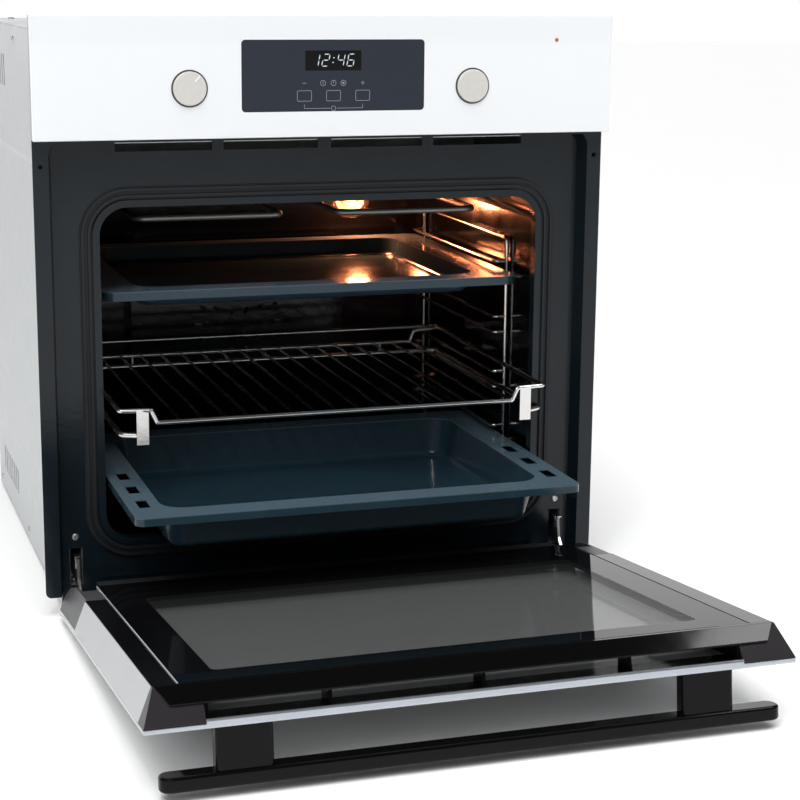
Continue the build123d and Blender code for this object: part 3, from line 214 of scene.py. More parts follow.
class Finish:
    """A material under construction."""

    def __init__(self, name, colour, roughness, metallic=0.0, **constants):
        self.material = bpy.data.materials.new(name)
        self.material.use_nodes = True
        self.tree = self.material.node_tree
        self.shader = self.tree.nodes["Principled BSDF"]
        self.set("Base Color", (*colour, 1))
        self.set("Roughness", roughness)
        self.set("Metallic", metallic)
        for socket, value in constants.items():
            self.set(socket.replace("_", " "), value)

    def node(self, kind, settings=None, values=None, output=0):
        """Adds a node: its settings first, then the value or link of each socket."""
        made = self.tree.nodes.new(kind)
        for key, value in (settings or {}).items():
            setattr(made, key, value)
        for key, value in (values or {}).items():
            self.join(made.inputs[key], value)
        return Term(self, made.outputs[output])

    def join(self, socket, value):
        if isinstance(value, Term):
            self.tree.links.new(value.socket, socket)
        else:
            socket.default_value = value

    def set(self, socket, value):
        self.join(self.shader.inputs[socket], value)

    def place(self, centre=(0, 0, 0), turn=(0, 0, 0), stretch=(1, 1, 1)):
        """Where the shaded point lies on the piece, moved, turned and stretched."""
        point = self.node("ShaderNodeTexCoord", output="Object")
        return self.node("ShaderNodeMapping", {"vector_type": "TEXTURE"},
                         {"Vector": point, "Location": centre, "Rotation": turn,
                          "Scale": stretch})

    def noise(self, size, detail=3.0, rough=0.5, **where):
        """Soft noise with features about size metres across, from 0 to 1."""
        return self.node("ShaderNodeTexNoise", {},
                         {"Vector": self.place(**where), "Scale": 1 / size, "Detail": detail,
                          "Roughness": rough})

    def cells(self, size, feature="F1", output="Distance", **where):
        """Cell pattern with cells about size metres across."""
        return self.node("ShaderNodeTexVoronoi", {"feature": feature},
                         {"Vector": self.place(**where), "Scale": 1 / size}, output=output)

    def axes(self, **where):
        """The point's three coordinates, as three terms."""
        point = self.place(**where)
        return [self.node("ShaderNodeSeparateXYZ", {}, {0: point}, output=i) for i in range(3)]

    def blend(self, factor, low, high):
        """A colour between two others."""
        low, high = [(*c, 1) if isinstance(c, tuple) and len(c) == 3 else c for c in (low, high)]
        return self.node("ShaderNodeMix", {"data_type": "RGBA"}, {0: factor, 6: low, 7: high},
                         output=2)

    def smooth(self, value, low, high):
        """0 below low, 1 above high, a soft step between; falls if low is the larger."""
        return self.node("ShaderNodeMapRange", {"interpolation_type": "SMOOTHSTEP"},
                         {"Value": value, "From Min": low, "From Max": high})

    def relief(self, height, depth, edge=None):
        """Fine relief, and if asked a rounded edge of that radius, for the light to catch."""
        values = {"Height": height, "Distance": depth, "Strength": 1.0}
        if edge:
            values["Normal"] = self.node("ShaderNodeBevel", {"samples": 4}, {"Radius": edge})
        self.set("Normal", self.node("ShaderNodeBump", {}, values))
        return self


def dress(finish, *names):
    """Gives CAD nodes this finish."""
    for name in names:
        for held in nodes[name].material_slots:
            held.material = finish.material
    print(finish.material.name, "on", ", ".join(names))


# %% [markdown]
# ## Dark enamel
# Oven enamel is glass fused to steel. It is deep blue-black, with a faint orange-peel ripple
# from the firing and tiny paler specks where grains of the frit did not melt. The ripple is low
# noise in the relief, and the specks are the centres of a cell pattern, cut off sharply.

# %% Front frame, cavity and fan cover


def enamel(name, colour, speck, roughness, ripple=0.00006):
    speck_size = 0.0016
    finish = Finish(name, colour, roughness, Specular_IOR_Level=0.3)
    drift = finish.noise(0.09, detail=2)
    specks = finish.smooth(finish.cells(speck_size), 0.16, 0.09)
    chosen = finish.noise(speck_size * 0.9, detail=0) > 0.6
    shade = finish.blend(drift, tuple(c * 0.8 for c in colour), tuple(c * 1.25 for c in colour))
    finish.set("Base Color", finish.blend(specks * chosen * 0.55, shade, speck))
    finish.set("Roughness", finish.noise(0.03, detail=4) * 0.12 + (roughness - 0.05))
    peel = finish.noise(0.0035, detail=2) + finish.noise(0.012, detail=1) * 2
    return finish.relief(peel, ripple)


frame_enamel = enamel("frame_enamel", (0.0050, 0.0098, 0.0138), (0.06, 0.09, 0.12), 0.17)
cavity_enamel = enamel("cavity_enamel", (0.0012, 0.0014, 0.0018), (0.02, 0.022, 0.025), 0.13,
                       ripple=0.00005)
dress(frame_enamel, "front_frame")
dress(cavity_enamel, "cavity_liner", "fan_cover")

# %% [markdown]
# ## Blue-grey tray enamel
# The baking tray and the deep pan are fired in a lighter blue-grey. The top of the rim is painted
# paler as a painted highlight, which shows as thin light lines, and faint sliding scuffs are paler
# too.

# %% Trays


def tray_enamel(name, colour, rim_top):
    finish = enamel(name, colour, (0.12, 0.17, 0.21), 0.13, ripple=0.00002)
    # Painted highlight: the top of the rim is painted paler to stand for light caught on its edge;
    # the scuffs below are real wear.
    rim_highlight = finish.smooth(finish.axes()[2], rim_top - 0.0012, rim_top - 0.0002)
    scuffs = finish.smooth(finish.noise(0.02, detail=6, rough=0.7, stretch=(1, 4, 1)), 0.55, 0.75)
    base = finish.shader.inputs["Base Color"].links[0].from_socket
    lit = finish.blend(rim_highlight * 0.22 + scuffs * 0.04, Term(finish, base), (0.22, 0.30, 0.36))
    finish.set("Base Color", lit)
    return finish


dress(tray_enamel("shallow_tray_enamel", (0.019, 0.038, 0.054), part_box("shallow_tray")[1].z),
      "shallow_tray")
dress(tray_enamel("deep_pan_enamel", (0.014, 0.033, 0.046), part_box("deep_pan")[1].z), "deep_pan")

# %% [markdown]
# ## Printed glass
# The fascia is clear glass printed white on the back, so it looks white with a clear layer on
# top: a coat does that. Its cut edges show the glass itself, a darker grey-green. The display
# pane is printed charcoal, with a black field where the digits shine through.

# %% Fascia and display panes
white_glass = Finish("white_printed_glass", (0.86, 0.875, 0.89), 0.28, Coat_Weight=1.0,
                     Coat_Roughness=0.02)
print_from, print_to = fascia_low.y + 0.0007, fascia_low.y + 0.0012
behind_face = white_glass.smooth(white_glass.axes()[1], print_from, print_to)
white_glass.set("Base Color", white_glass.blend(
    behind_face, white_glass.blend(white_glass.noise(0.2), (0.79, 0.815, 0.835), (0.82, 0.84, 0.86)),
    (0.33, 0.36, 0.365)))
white_glass.relief(white_glass.noise(0.15, detail=1), 0.0001)
dress(white_glass, "fascia_glass")

charcoal_glass = Finish("charcoal_display_glass", (0.020, 0.025, 0.036), 0.42,
                        Specular_IOR_Level=0.25)
pane_x, _, pane_z = charcoal_glass.axes()
led_centre = Vector(((window_low.x + window_high.x) / 2 - 0.0008, 0, window_low.z + 0.0495))
led_half_width, led_half_height = 0.0288, 0.0098
led_field = ((abs(pane_x - led_centre.x) < led_half_width)
             * (abs(pane_z - led_centre.z) < led_half_height))
print_grain = charcoal_glass.noise(0.0009, detail=2)
charcoal_glass.set("Base Color", charcoal_glass.blend(
    led_field, charcoal_glass.blend(print_grain, (0.018, 0.023, 0.033), (0.024, 0.030, 0.042)),
    (0.0015, 0.0015, 0.002)))
charcoal_glass.set("Roughness", charcoal_glass.noise(0.05) * 0.08 + 0.36 - led_field * 0.25)
charcoal_glass.relief(print_grain, 0.000012)
dress(charcoal_glass, "display_window")

# %% [markdown]
# ## Turned satin metal
# The knobs are turned discs with a satin silver lacquer. A lathe leaves rings, so the relief is
# a fine wave of the distance from the knob's own centre. The white pointer is raised a tenth of
# a millimetre above the face, so its place in front of the face tells it apart.

# %% Knobs and collars
LATHE_RINGS = 9000  # radians of wave in each metre


def turned_knob(name, pointer):
    low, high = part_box(name)
    centre = (low + high) / 2
    finish = Finish(name + "_satin", (0.74, 0.72, 0.69), 0.34, 0.25)
    x, y, z = finish.axes(centre=centre)
    rings = ((x * x + z * z).root() * LATHE_RINGS).sine()
    streaks = finish.noise(0.004, detail=3, centre=centre, stretch=(1, 20, 1))
    tone = finish.blend(streaks, (0.62, 0.60, 0.57), (0.72, 0.70, 0.67))
    if pointer:
        raised = finish.smooth(y, low.y - centre.y + 0.0002, low.y - centre.y + 0.00005)
        tone = finish.blend(raised, tone, (0.93, 0.93, 0.92))
    finish.set("Base Color", tone)
    finish.set("Roughness", streaks * 0.16 + 0.27)
    finish.relief(rings * 0.3 + streaks, 0.000012)
    dress(finish, name)


turned_knob("selector_knob", pointer=True)
turned_knob("thermostat_knob", pointer=False)


def moulding(name, colour, roughness, size=0.0007, depth=0.00002, edge=0.0004, **constants):
    """Moulded plastic: spark-eroded grain and slightly uneven gloss."""
    finish = Finish(name, colour, roughness, **constants)
    texture = finish.noise(size, detail=3, rough=0.6)
    drift = finish.noise(0.05, detail=2)
    finish.set("Base Color", finish.blend(drift, tuple(c * 0.88 for c in colour),
                                          tuple(min(1, c * 1.12) for c in colour)))
    finish.set("Roughness", texture * 0.12 + (roughness - 0.06))
    return finish.relief(texture, depth, edge)


dress(moulding("collar_plastic", (0.045, 0.045, 0.05), 0.35), "knob_rings")
dress(moulding("carrier_plastic", (0.36, 0.37, 0.375), 0.45), "fascia_frame")
dress(moulding("amber_lens", (0.42, 0.13, 0.03), 0.15, depth=0.000005, Coat_Weight=1.0),
      "indicator_lamp")

# %% [markdown]
# ## Chromed wire
# Racks and side supports are bright chromed wire. Chrome is nearly colourless, so the finish is
# full metal with low roughness. Heat leaves faint straw-coloured patches, and the plating is
# never quite even, so both are driven by noise along the wire.

# %% Racks and side supports


def chrome(name, straw, roughness):
    finish = Finish(name, (0.68, 0.68, 0.68), roughness, 1.0)
    patches = finish.smooth(finish.noise(0.07, detail=3), 0.45, 0.75)
    finish.set("Base Color", finish.blend(patches * straw, (0.68, 0.675, 0.67), (0.58, 0.46, 0.31)))
    finish.set("Roughness", finish.noise(0.01, detail=4) * 0.12 + (roughness - 0.04))
    return finish.relief(finish.noise(0.003, detail=2), 0.00003)


dress(chrome("rack_chrome", 0.35, 0.15), "wire_rack")
dress(chrome("ladder_chrome", 0.55, 0.17), "side_supports")

# %% [markdown]
# ## Gloss black mouldings
# The handle and the bar along the door's top are polished black. With almost no colour of its
# own, such a surface is all reflection, and only very slight waviness tells it from a mirror.

# %% Handle, trim and door mouldings


def gloss_black(name, edge):
    finish = Finish(name, (0.0018, 0.0018, 0.002), 0.07, Specular_IOR_Level=0.15)
    haze = finish.noise(0.02, detail=5, rough=0.65)
    finish.set("Roughness", haze * 0.08 + 0.04)
    return finish.relief(finish.noise(0.04, detail=1) + haze * 0.05, 0.00012, edge)


dress(gloss_black("handle_gloss", 0.0012), "handle_bar", "handle_legs")
dress(gloss_black("trim_gloss", 0.0006), "door_top_trim")
dress(moulding("cap_plastic", (0.016, 0.014, 0.016), 0.34, edge=0.001,
               Specular_IOR_Level=0.3), "door_end_caps")
dress(moulding("corner_plastic", (0.050, 0.050, 0.054), 0.42, edge=0.001), "door_corners")
dress(moulding("holder_plastic", (0.02, 0.02, 0.02), 0.5), "glass_holders")
dress(moulding("black_rail_paint", (0.022, 0.022, 0.024), 0.38, size=0.0012), "door_bottom_rail")

satin_grey = Finish("door_side_satin", (0.44, 0.45, 0.46), 0.36, 0.35, Specular_IOR_Level=0.2)
flakes = satin_grey.noise(0.0006, detail=2)
depth = satin_grey.axes(centre=hinge_line, turn=(door_angle, 0, 0))[1]
black_from, black_to = 0.0262, 0.0266
black_top = satin_grey.smooth(depth, black_from, black_to)
satin_grey.set("Base Color", satin_grey.blend(
    black_top, satin_grey.blend(flakes, (0.40, 0.41, 0.42), (0.50, 0.51, 0.52)),
    (0.004, 0.004, 0.0045)))
satin_grey.set("Metallic", 0.35 - black_top * 0.35)
satin_grey.set("Roughness", satin_grey.noise(0.03, detail=3) * 0.1 + 0.32 - black_top * 0.22)
satin_grey.relief(flakes, 0.00001, 0.0006)
dress(satin_grey, "door_sides")

# %% [markdown]
# ## Door panes
# An oven door is a stack of three panes. The inner one has a broad black ceramic print with a
# clear window in it, the middle one carries a pale heat-reflecting film, and the outer one is
# smoked, with a pale border. Each print is a mask measured in the door's own directions, so
# it stays right although the pane is lying open: the point is turned back by the door's angle
# before it is compared with the window's limits.

# %% Printed panes
PRINT_SOFTNESS = 0.0004
PANE_GLOSS = 0.03


def rounded_window(finish, half_width, low, high, corner):
    """1 inside a rounded rectangle drawn on the pane, 0 outside."""
    x, _, up = finish.axes(centre=hinge_line, turn=(door_angle, 0, 0))
    middle, half_height = (low + high) / 2 - hinge_line.z, (high - low) / 2
    across = (abs(x) - (half_width - corner)).math("MAXIMUM", 0.0)
    along = (abs(up - middle) - (half_height - corner)).math("MAXIMUM", 0.0)
    return finish.smooth((across * across + along * along).root(), corner + PRINT_SOFTNESS,
                         corner - PRINT_SOFTNESS)


def pane(name, node, print_colour, clear_colour, clear_alpha, window):
    edge_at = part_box(node)[1].x
    finish = Finish(name, print_colour, PANE_GLOSS, Coat_Roughness=0.01, Specular_IOR_Level=0.08)
    clear = rounded_window(finish, *window)
    smears = finish.smooth(finish.noise(0.05, detail=6, rough=0.7), 0.5, 0.8)
    ripple = finish.noise(0.006, detail=1)
    sideways = abs(finish.axes()[0])
    # Painted highlight: a thin light grey band at each pane's side edge stands for the cut glass
    # edge catching the light.
    edge = finish.smooth(sideways, edge_at - 0.0007, edge_at - 0.0003)
    finish.set("Base Color", finish.blend(edge, finish.blend(clear, print_colour, clear_colour),
                                          (0.42, 0.46, 0.46)))
    finish.set("Alpha", 1 - clear * (1 - clear_alpha) + smears * clear * 0.03)
    finish.set("Coat Weight", clear * 0.85 + 0.03)
    finish.set("Roughness", smears * 0.05 + PANE_GLOSS)
    finish.relief(ripple * (1 - clear), 0.000006)
    dress(finish, node)


pane("inner_pane_print", "door_inner_glass", (0.003, 0.003, 0.0035), (0.05, 0.052, 0.052), 0.20,
     (0.2185, 0.1227, 0.4186, 0.006))
pane("middle_pane_film", "door_middle_glass", (0.35, 0.37, 0.36), (0.33, 0.34, 0.34), 0.42,
     (0.30, 0.0, 0.60, 0.004))
pane("outer_pane_print", "door_outer_glass", (0.80, 0.82, 0.83), (0.05, 0.053, 0.055), 0.62,
     (0.232, 0.085, 0.398, 0.010))

# %% [markdown]
# ## Sheet steel
# The housing is galvanised. Zinc freezes in flat crystals, each turned its own way, so a
# cell pattern gives every crystal a slightly different tone and gloss. Bright zinc plate, on the
# hinges and screws, has no such crystals and is only finely streaked.

# %% Galvanised and plated parts


def galvanised(name, centre=None, half=(0.2, 0.2), flat_axes=(1, 2)):
    """Zinc crystals, and on a large panel a shallow pressed field that stiffens it."""
    finish = Finish(name, (0.47, 0.49, 0.50), 0.42, 0.85)
    tone = finish.cells(0.011, output="Color")
    crystal = finish.node("ShaderNodeSeparateXYZ", {}, {0: tone})
    finish.set("Base Color", finish.blend(crystal * 0.7 + finish.noise(0.002, detail=4) * 0.3,
                                          (0.42, 0.44, 0.45), (0.62, 0.64, 0.65)))
    finish.set("Roughness", crystal * 0.22 + 0.3)
    height = finish.noise(0.02, detail=2) * 0.04
    if centre:
        axes = finish.axes(centre=centre)
        a, b = [(abs(axes[k]) - (h - 0.02)).math("MAXIMUM", 0.0) for k, h in zip(flat_axes, half)]
        height = height + finish.smooth((a * a + b * b).root(), 0.024, 0.018)
    return finish.relief(height, 0.002)


dress(galvanised("side_sheet", (0, 0.28, 0.27), (0.20, 0.17), (1, 2)), "side_panels")
dress(galvanised("top_sheet", (0, 0.22, 0), (0.22, 0.16), (0, 1)), "top_cover")
dress(galvanised("back_sheet", (0, 0, 0.40), (0.15, 0.06), (0, 2)), "back_panel")
dress(galvanised("inner_sheet"), "base_panel", "air_duct", "blower_housing", "hinge_housings")


def plated(name, colour, roughness, stretch=(1, 1, 12), metal=1.0, edge=0.0004):
    finish = Finish(name, colour, roughness, metal)
    streaks = finish.noise(0.003, detail=5, rough=0.65, stretch=stretch)
    finish.set("Base Color", finish.blend(streaks, tuple(c * 0.82 for c in colour),
                                          tuple(min(1, c * 1.15) for c in colour)))
    finish.set("Roughness", streaks * 0.2 + (roughness - 0.1))
    return finish.relief(streaks, 0.00002, edge)


dress(plated("bright_zinc", (0.66, 0.67, 0.68), 0.25), "hinge_brackets", "hinge_latch_left",
      "hinge_latch_right", "hinge_yokes")
dress(moulding("edge_strip_lacquer", (0.50, 0.53, 0.58), 0.30, size=0.0005, depth=0.000006,
               edge=0.0008, Metallic=0.9), "door_edge_strip")
dress(plated("spring_wire", (0.30, 0.30, 0.31), 0.34, edge=None), "hinge_springs")
dress(plated("heater_sheath", (0.24, 0.235, 0.22), 0.42, (1, 1, 1), 0.9, None), "grill_element",
      "ring_element", "bottom_element")
dress(plated("fan_steel", (0.46, 0.46, 0.45), 0.36, (6, 1, 6)), "convection_fan")
dress(plated("probe_steel", (0.55, 0.53, 0.50), 0.28, (1, 10, 1), edge=None), "temperature_probe")
dress(plated("rotor_aluminium", (0.62, 0.62, 0.62), 0.38, (12, 1, 1), edge=None), "blower_rotor")
dress(plated("thermostat_case", (0.58, 0.58, 0.56), 0.32), "thermostat_body")
dress(plated("turned_brass", (0.72, 0.53, 0.24), 0.25, (1, 10, 1), edge=None), "selector_shaft",
      "thermostat_shaft")

# %% [markdown]
# ## What is inside
# Even the pieces behind the panels get their own look, because an assembly is opened up and
# looked into. Motors are stacks of thin laminations, shown as a fine wave through the stack.
# Mineral wool is matted fibre, so its noise is stretched one way and laid over itself.

# %% Motors, ceramics, rubber, wool and boards
LAMINATIONS = 9000  # radians of wave in each metre


def laminated(name, node, along):
    finish = Finish(name, (0.12, 0.12, 0.125), 0.5, 0.7)
    sheets = (finish.axes()[along] * LAMINATIONS).sine()
    rust = finish.smooth(finish.noise(0.012, detail=5), 0.5, 0.8)
    iron = finish.blend(rust * 0.4, (0.15, 0.15, 0.155), (0.17, 0.10, 0.06))
    winding_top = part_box(node)[0].z + 0.0135
    winding = finish.smooth(finish.axes()[2], winding_top, winding_top - 0.0005)
    finish.set("Base Color", finish.blend(winding, iron, (0.55, 0.22, 0.09)))
    finish.set("Roughness", rust * 0.25 + 0.4 - winding * 0.15)
    finish.relief(sheets, 0.00005, 0.0005)
    dress(finish, node)


laminated("fan_motor_iron", "fan_motor", 1)
laminated("blower_motor_iron", "blower_motor", 0)
dress(moulding("cream_plastic", (0.72, 0.69, 0.60), 0.5), "selector_switch", "terminal_block")
dress(moulding("black_bakelite", (0.03, 0.03, 0.03), 0.4), "thermal_cutout")
dress(moulding("glazed_ceramic", (0.80, 0.77, 0.72), 0.25, depth=0.00003), "lamp_holder")
dress(moulding("gland_rubber", (0.02, 0.02, 0.02), 0.6, size=0.001, depth=0.00005),
      "cable_gland")
dress(moulding("seal_rubber", (0.012, 0.014, 0.017), 0.42, size=0.0012, depth=0.00006,
               edge=0.0006, Specular_IOR_Level=0.3), "door_gasket")

board = Finish("board_and_cover", (0.02, 0.10, 0.05), 0.4, Coat_Weight=0.3)
tracks = board.smooth(board.cells(0.004, "DISTANCE_TO_EDGE"), 0.03, 0.06)
cover_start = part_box("control_module")[0].y + 0.0106
is_cover = board.axes()[1] > cover_start
board.set("Base Color", board.blend(is_cover, board.blend(tracks, (0.05, 0.22, 0.11),
                                                          (0.012, 0.085, 0.04)),
                                    (0.02, 0.02, 0.022)))
board.relief(tracks, 0.00003, 0.0004)
dress(board, "control_module")

sleeving = Finish("braided_sleeving", (0.30, 0.30, 0.29), 0.7, Sheen_Weight=0.2)
braid = sleeving.cells(0.0011)
sleeving.set("Base Color", sleeving.blend(braid, (0.20, 0.20, 0.20), (0.42, 0.41, 0.39)))
sleeving.relief(braid, 0.0002)
dress(sleeving, "wiring_loom")

wool = Finish("mineral_wool", (0.62, 0.55, 0.34), 0.95)
fibres = wool.noise(0.006, detail=8, rough=0.75, stretch=(8, 1, 1)) + wool.noise(
    0.006, detail=8, rough=0.75, stretch=(1, 8, 1))
wool.set("Base Color", wool.blend(fibres * 0.5, (0.40, 0.34, 0.19), (0.76, 0.69, 0.47)))
wool.relief(fibres, 0.002)
dress(wool, "insulation")

# %% [markdown]
# ## The oven lamp
# The lamp is the one coloured light. The bulb glows, a warm point light in front of its cover does
# the real lighting, and the ribbed cover is glass whose rings are a wave of the distance from its
# centre.

# %% Lamp
COVER_RINGS = 2600  # radians of wave in each metre
lamp_low, lamp_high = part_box("lamp_glass")
lamp_centre = (lamp_low + lamp_high) / 2
bulb_glow = Finish("bulb_glow", (1.0, 0.8, 0.5), 0.3, Emission_Strength=1.8)
bulb_glow.set("Emission Color", bulb_glow.blend(bulb_glow.noise(0.004), (1.0, 0.34, 0.12),
                                                (1.0, 0.50, 0.24)))
dress(bulb_glow, "lamp_bulb")

cover_glass = Finish("ribbed_cover_glass", (0.05, 0.04, 0.03), 0.06, IOR=1.5)
x, _, z = cover_glass.axes(centre=lamp_centre)
ribs = ((x * x + z * z).root() * COVER_RINGS).sine()
cover_glass.set("Base Color", cover_glass.blend(cover_glass.noise(0.01), (0.04, 0.032, 0.024),
                                                (0.07, 0.055, 0.04)))
cover_glass.set("Alpha", ribs * 0.08 + 0.3)
cover_glass.relief(ribs, 0.0004)
dress(cover_glass, "lamp_glass")

warm = bpy.data.lights.new("oven_lamp", "POINT")
warm.energy, warm.color, warm.shadow_soft_size = 2.0, (1.0, 0.28, 0.11), 0.012
warm_stand = bpy.data.objects.new("oven_lamp", warm)
bpy.context.scene.collection.objects.link(warm_stand)
ahead_of_cover = 0.02
warm_stand.location = (lamp_centre.x, lamp_low.y - ahead_of_cover, lamp_centre.z)
warm_stand.visible_camera = False
print("lamp light stands at", [round(v, 3) for v in warm_stand.location])

# %% [markdown]
# ## Clock digits
# A seven-segment digit is made of one bar, used seven times. The bar is a hexagon whose two
# halves are pulled apart, which gives the pointed ends, and a thin extrusion gives it a face of
# its own just in front of the pane. It is modelled once, copied to every lit segment and joined.

# %% Clock digits


def make_active(part):
    """Makes one piece the active one, with nothing of its mesh selected."""
    bpy.ops.object.select_all(action="DESELECT")
    part.select_set(True)
    bpy.context.view_layer.objects.active = part
    bpy.ops.object.mode_set(mode="EDIT")
    bpy.ops.mesh.select_all(action="DESELECT")
    bpy.ops.object.mode_set(mode="OBJECT")


def choose(part, kind, test):
    """Selects the vertices or faces of a piece that pass a test, in edit mode."""
    make_active(part)
    for item in getattr(part.data, kind):
        place = item.co if kind == "vertices" else item.center
        item.select = bool(test(place))
    bpy.ops.object.mode_set(mode="EDIT")
    bpy.ops.mesh.select_mode(type="VERT" if kind == "vertices" else "FACE")


def copy_to(part, matrix):
    """A copy whose own mesh is moved to its place."""
    again = part.copy()
    again.data = part.data.copy()
    again.data.transform(matrix)
    bpy.context.scene.collection.objects.link(again)
    return again


def join_all(name, parts, body, finish):
    """One named piece from several, outward-facing, riding on a body."""
    bpy.ops.object.select_all(action="DESELECT")
    for part in parts:
        part.select_set(True)
    bpy.context.view_layer.objects.active = parts[0]
    bpy.ops.object.join()
    joined = bpy.context.object
    bpy.ops.object.transform_apply(location=True, rotation=True, scale=True)
    bpy.ops.object.mode_set(mode="EDIT")
    bpy.ops.mesh.select_all(action="SELECT")
    bpy.ops.mesh.normals_make_consistent(inside=False)
    bpy.ops.object.mode_set(mode="OBJECT")
    joined.name = name
    joined.data.materials.clear()
    joined.data.materials.append(finish.material)
    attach(joined, body)
    print(name, "has", len(joined.data.polygons), "faces")


glow = Finish("digit_glow", (0.30, 0.36, 0.37), 0.4, Emission_Strength=0.45)
glow.set("Emission Color", glow.blend(glow.noise(0.003), (0.62, 0.80, 0.84), (0.80, 0.92, 0.94)))

bpy.ops.object.select_all(action="DESELECT")
bpy.ops.mesh.primitive_circle_add(vertices=6, radius=0.00052, fill_type="NGON",
                                  rotation=(math.pi / 2, 0, 0))
bar = bpy.context.object
bpy.ops.object.transform_apply(rotation=True)
for side in (-1, 1):
    choose(bar, "vertices", lambda p: p.x * side > 0)
    bpy.ops.transform.translate(value=(side * 0.0019, 0, 0))
    bpy.ops.object.mode_set(mode="OBJECT")
choose(bar, "polygons", lambda p: True)
bpy.ops.mesh.extrude_region_move(TRANSFORM_OT_translate={"value": (0, -0.00008, 0)})
bpy.ops.object.mode_set(mode="OBJECT")

LIT = {"1": "bc", "2": "abged", "4": "fgbc", "6": "afgcde"}
SEGMENTS = {"a": (0, 2, 0), "g": (0, 0, 0), "d": (0, -2, 0), "f": (-1, 1, 1), "b": (1, 1, 1),
            "e": (-1, -1, 1), "c": (1, -1, 1)}
lean, half_digit, half_stem = 0.19, 0.0032, 0.0029
slant = Matrix(((1, 0, lean, 0), (0, 1, 0, 0), (0, 0, 1, 0), (0, 0, 0, 1)))
digit_at = Vector((led_centre.x, window_low.y, led_centre.z + 0.0004))
segments = []
for offset, digit in ((-0.0180, "1"), (-0.0078, "2"), (0.0078, "4"), (0.0180, "6")):
    for lit in LIT[digit]:
        across, up, upright = SEGMENTS[lit]
        turn = Matrix.Rotation(math.pi / 2 * upright, 4, "Y")
        shift = Matrix.Translation((across * half_digit, 0, up * half_stem))
        segments.append(copy_to(bar, Matrix.Translation(digit_at + Vector((offset, 0, 0)))
                                @ slant @ shift @ turn))
for up in (-1, 1):
    dot = Matrix.Translation(digit_at) @ slant @ Matrix.Translation((0, 0, up * 0.0023))
    segments.append(copy_to(bar, dot @ Matrix.Diagonal((0.34, 1, 1.1, 1))))
bpy.data.objects.remove(bar)
join_all("clock_digits", segments, "housing", glow)

# %% [markdown]
# ## Touch marks
# Under the clock are three outlined touch fields, with a minus, a plus and three small rings over
# them and a bracket line below. They are print, so each is a flat outline a few hundredths of
# a millimetre thick. An outline is a plane with its corners bevelled, inset once, with the
# middle face taken away.

# %% Touch marks
mark_print = Finish("mark_print", (0.24, 0.25, 0.27), 0.5)
mark_print.set("Base Color", mark_print.blend(mark_print.noise(0.0008), (0.21, 0.22, 0.24),
                                              (0.28, 0.29, 0.31)))
mark_y = window_low.y - 0.00002
CORNER_STEPS = 4


def outline(x, z, width, height, corner, line):
    """A flat printed outline; with line 0 it is solid."""
    bpy.ops.object.select_all(action="DESELECT")
    bpy.ops.mesh.primitive_plane_add(size=1, location=(x, mark_y, z),
                                     rotation=(math.pi / 2, 0, 0))
    mark = bpy.context.object
    mark.scale = (width, height, 1)
    bpy.ops.object.transform_apply(location=True, rotation=True, scale=True)
    choose(mark, "polygons", lambda p: True)
    bpy.ops.mesh.select_mode(type="VERT")
    if corner:
        bpy.ops.mesh.bevel(offset=corner, segments=CORNER_STEPS, affect="VERTICES")
    if line:
        bpy.ops.object.mode_set(mode="OBJECT")
        choose(mark, "polygons", lambda p: True)
        bpy.ops.mesh.inset(thickness=line)
        bpy.ops.object.mode_set(mode="OBJECT")
        middle = max(mark.data.polygons, key=lambda f: len(f.vertices)).index
        make_active(mark)
        mark.data.polygons[middle].select = True
        bpy.ops.object.mode_set(mode="EDIT")
        bpy.ops.mesh.select_mode(type="FACE")
        bpy.ops.mesh.delete(type="FACE")
    bpy.ops.mesh.select_all(action="SELECT")
    bpy.ops.mesh.extrude_region_move(TRANSFORM_OT_translate={"value": (0, -0.00004, 0)})
    bpy.ops.object.mode_set(mode="OBJECT")
    return mark


touch_z = window_low.z + 0.0152
symbol_z, bracket_z = touch_z + 0.0124, touch_z - 0.0123
left, centre, right, hair = -0.0306, -0.0007, 0.0295, 0.0005
ring_left, ring_right = -0.0115, 0.0095
marks = [outline(x, touch_z, 0.0150, 0.0107, 0.0016, hair) for x in (left, centre, right)]
marks += [outline(left, symbol_z, 0.0040, 0.0006, 0, 0),
          outline(right, symbol_z, 0.0040, 0.0006, 0, 0),
          outline(right, symbol_z, 0.0006, 0.0040, 0, 0)]
marks += [outline(x, symbol_z, 0.0056, 0.0056, 0.0026, hair)
          for x in (ring_left, centre, ring_right)]
marks += [outline(ring_left, symbol_z, hair, 0.0030, 0, 0),
          outline(centre, touch_z + 0.0130, hair, 0.0022, 0, 0),
          outline(ring_right, symbol_z, 0.0022, 0.0022, 0.001, 0)]
marks += [outline(x, bracket_z + 0.0020, hair, 0.0040, 0, 0) for x in (left, right)]
marks += [outline(x, bracket_z, 0.0269, hair, 0, 0) for x in (-0.0174, 0.0163)]
marks.append(outline(centre, bracket_z, 0.0050, 0.0050, 0.0024, hair))
join_all("touch_marks", marks, "housing", mark_print)

# %% [markdown]
# ## Panel screws
# Sheet-metal screws hold the panels together. A pan head is a short cylinder with its top edge
# bevelled, and the cross recess is cut with two crossed bars by a Boolean modifier. One is
# modelled, facing along +Z, and copied to each place turned to face out of its panel.

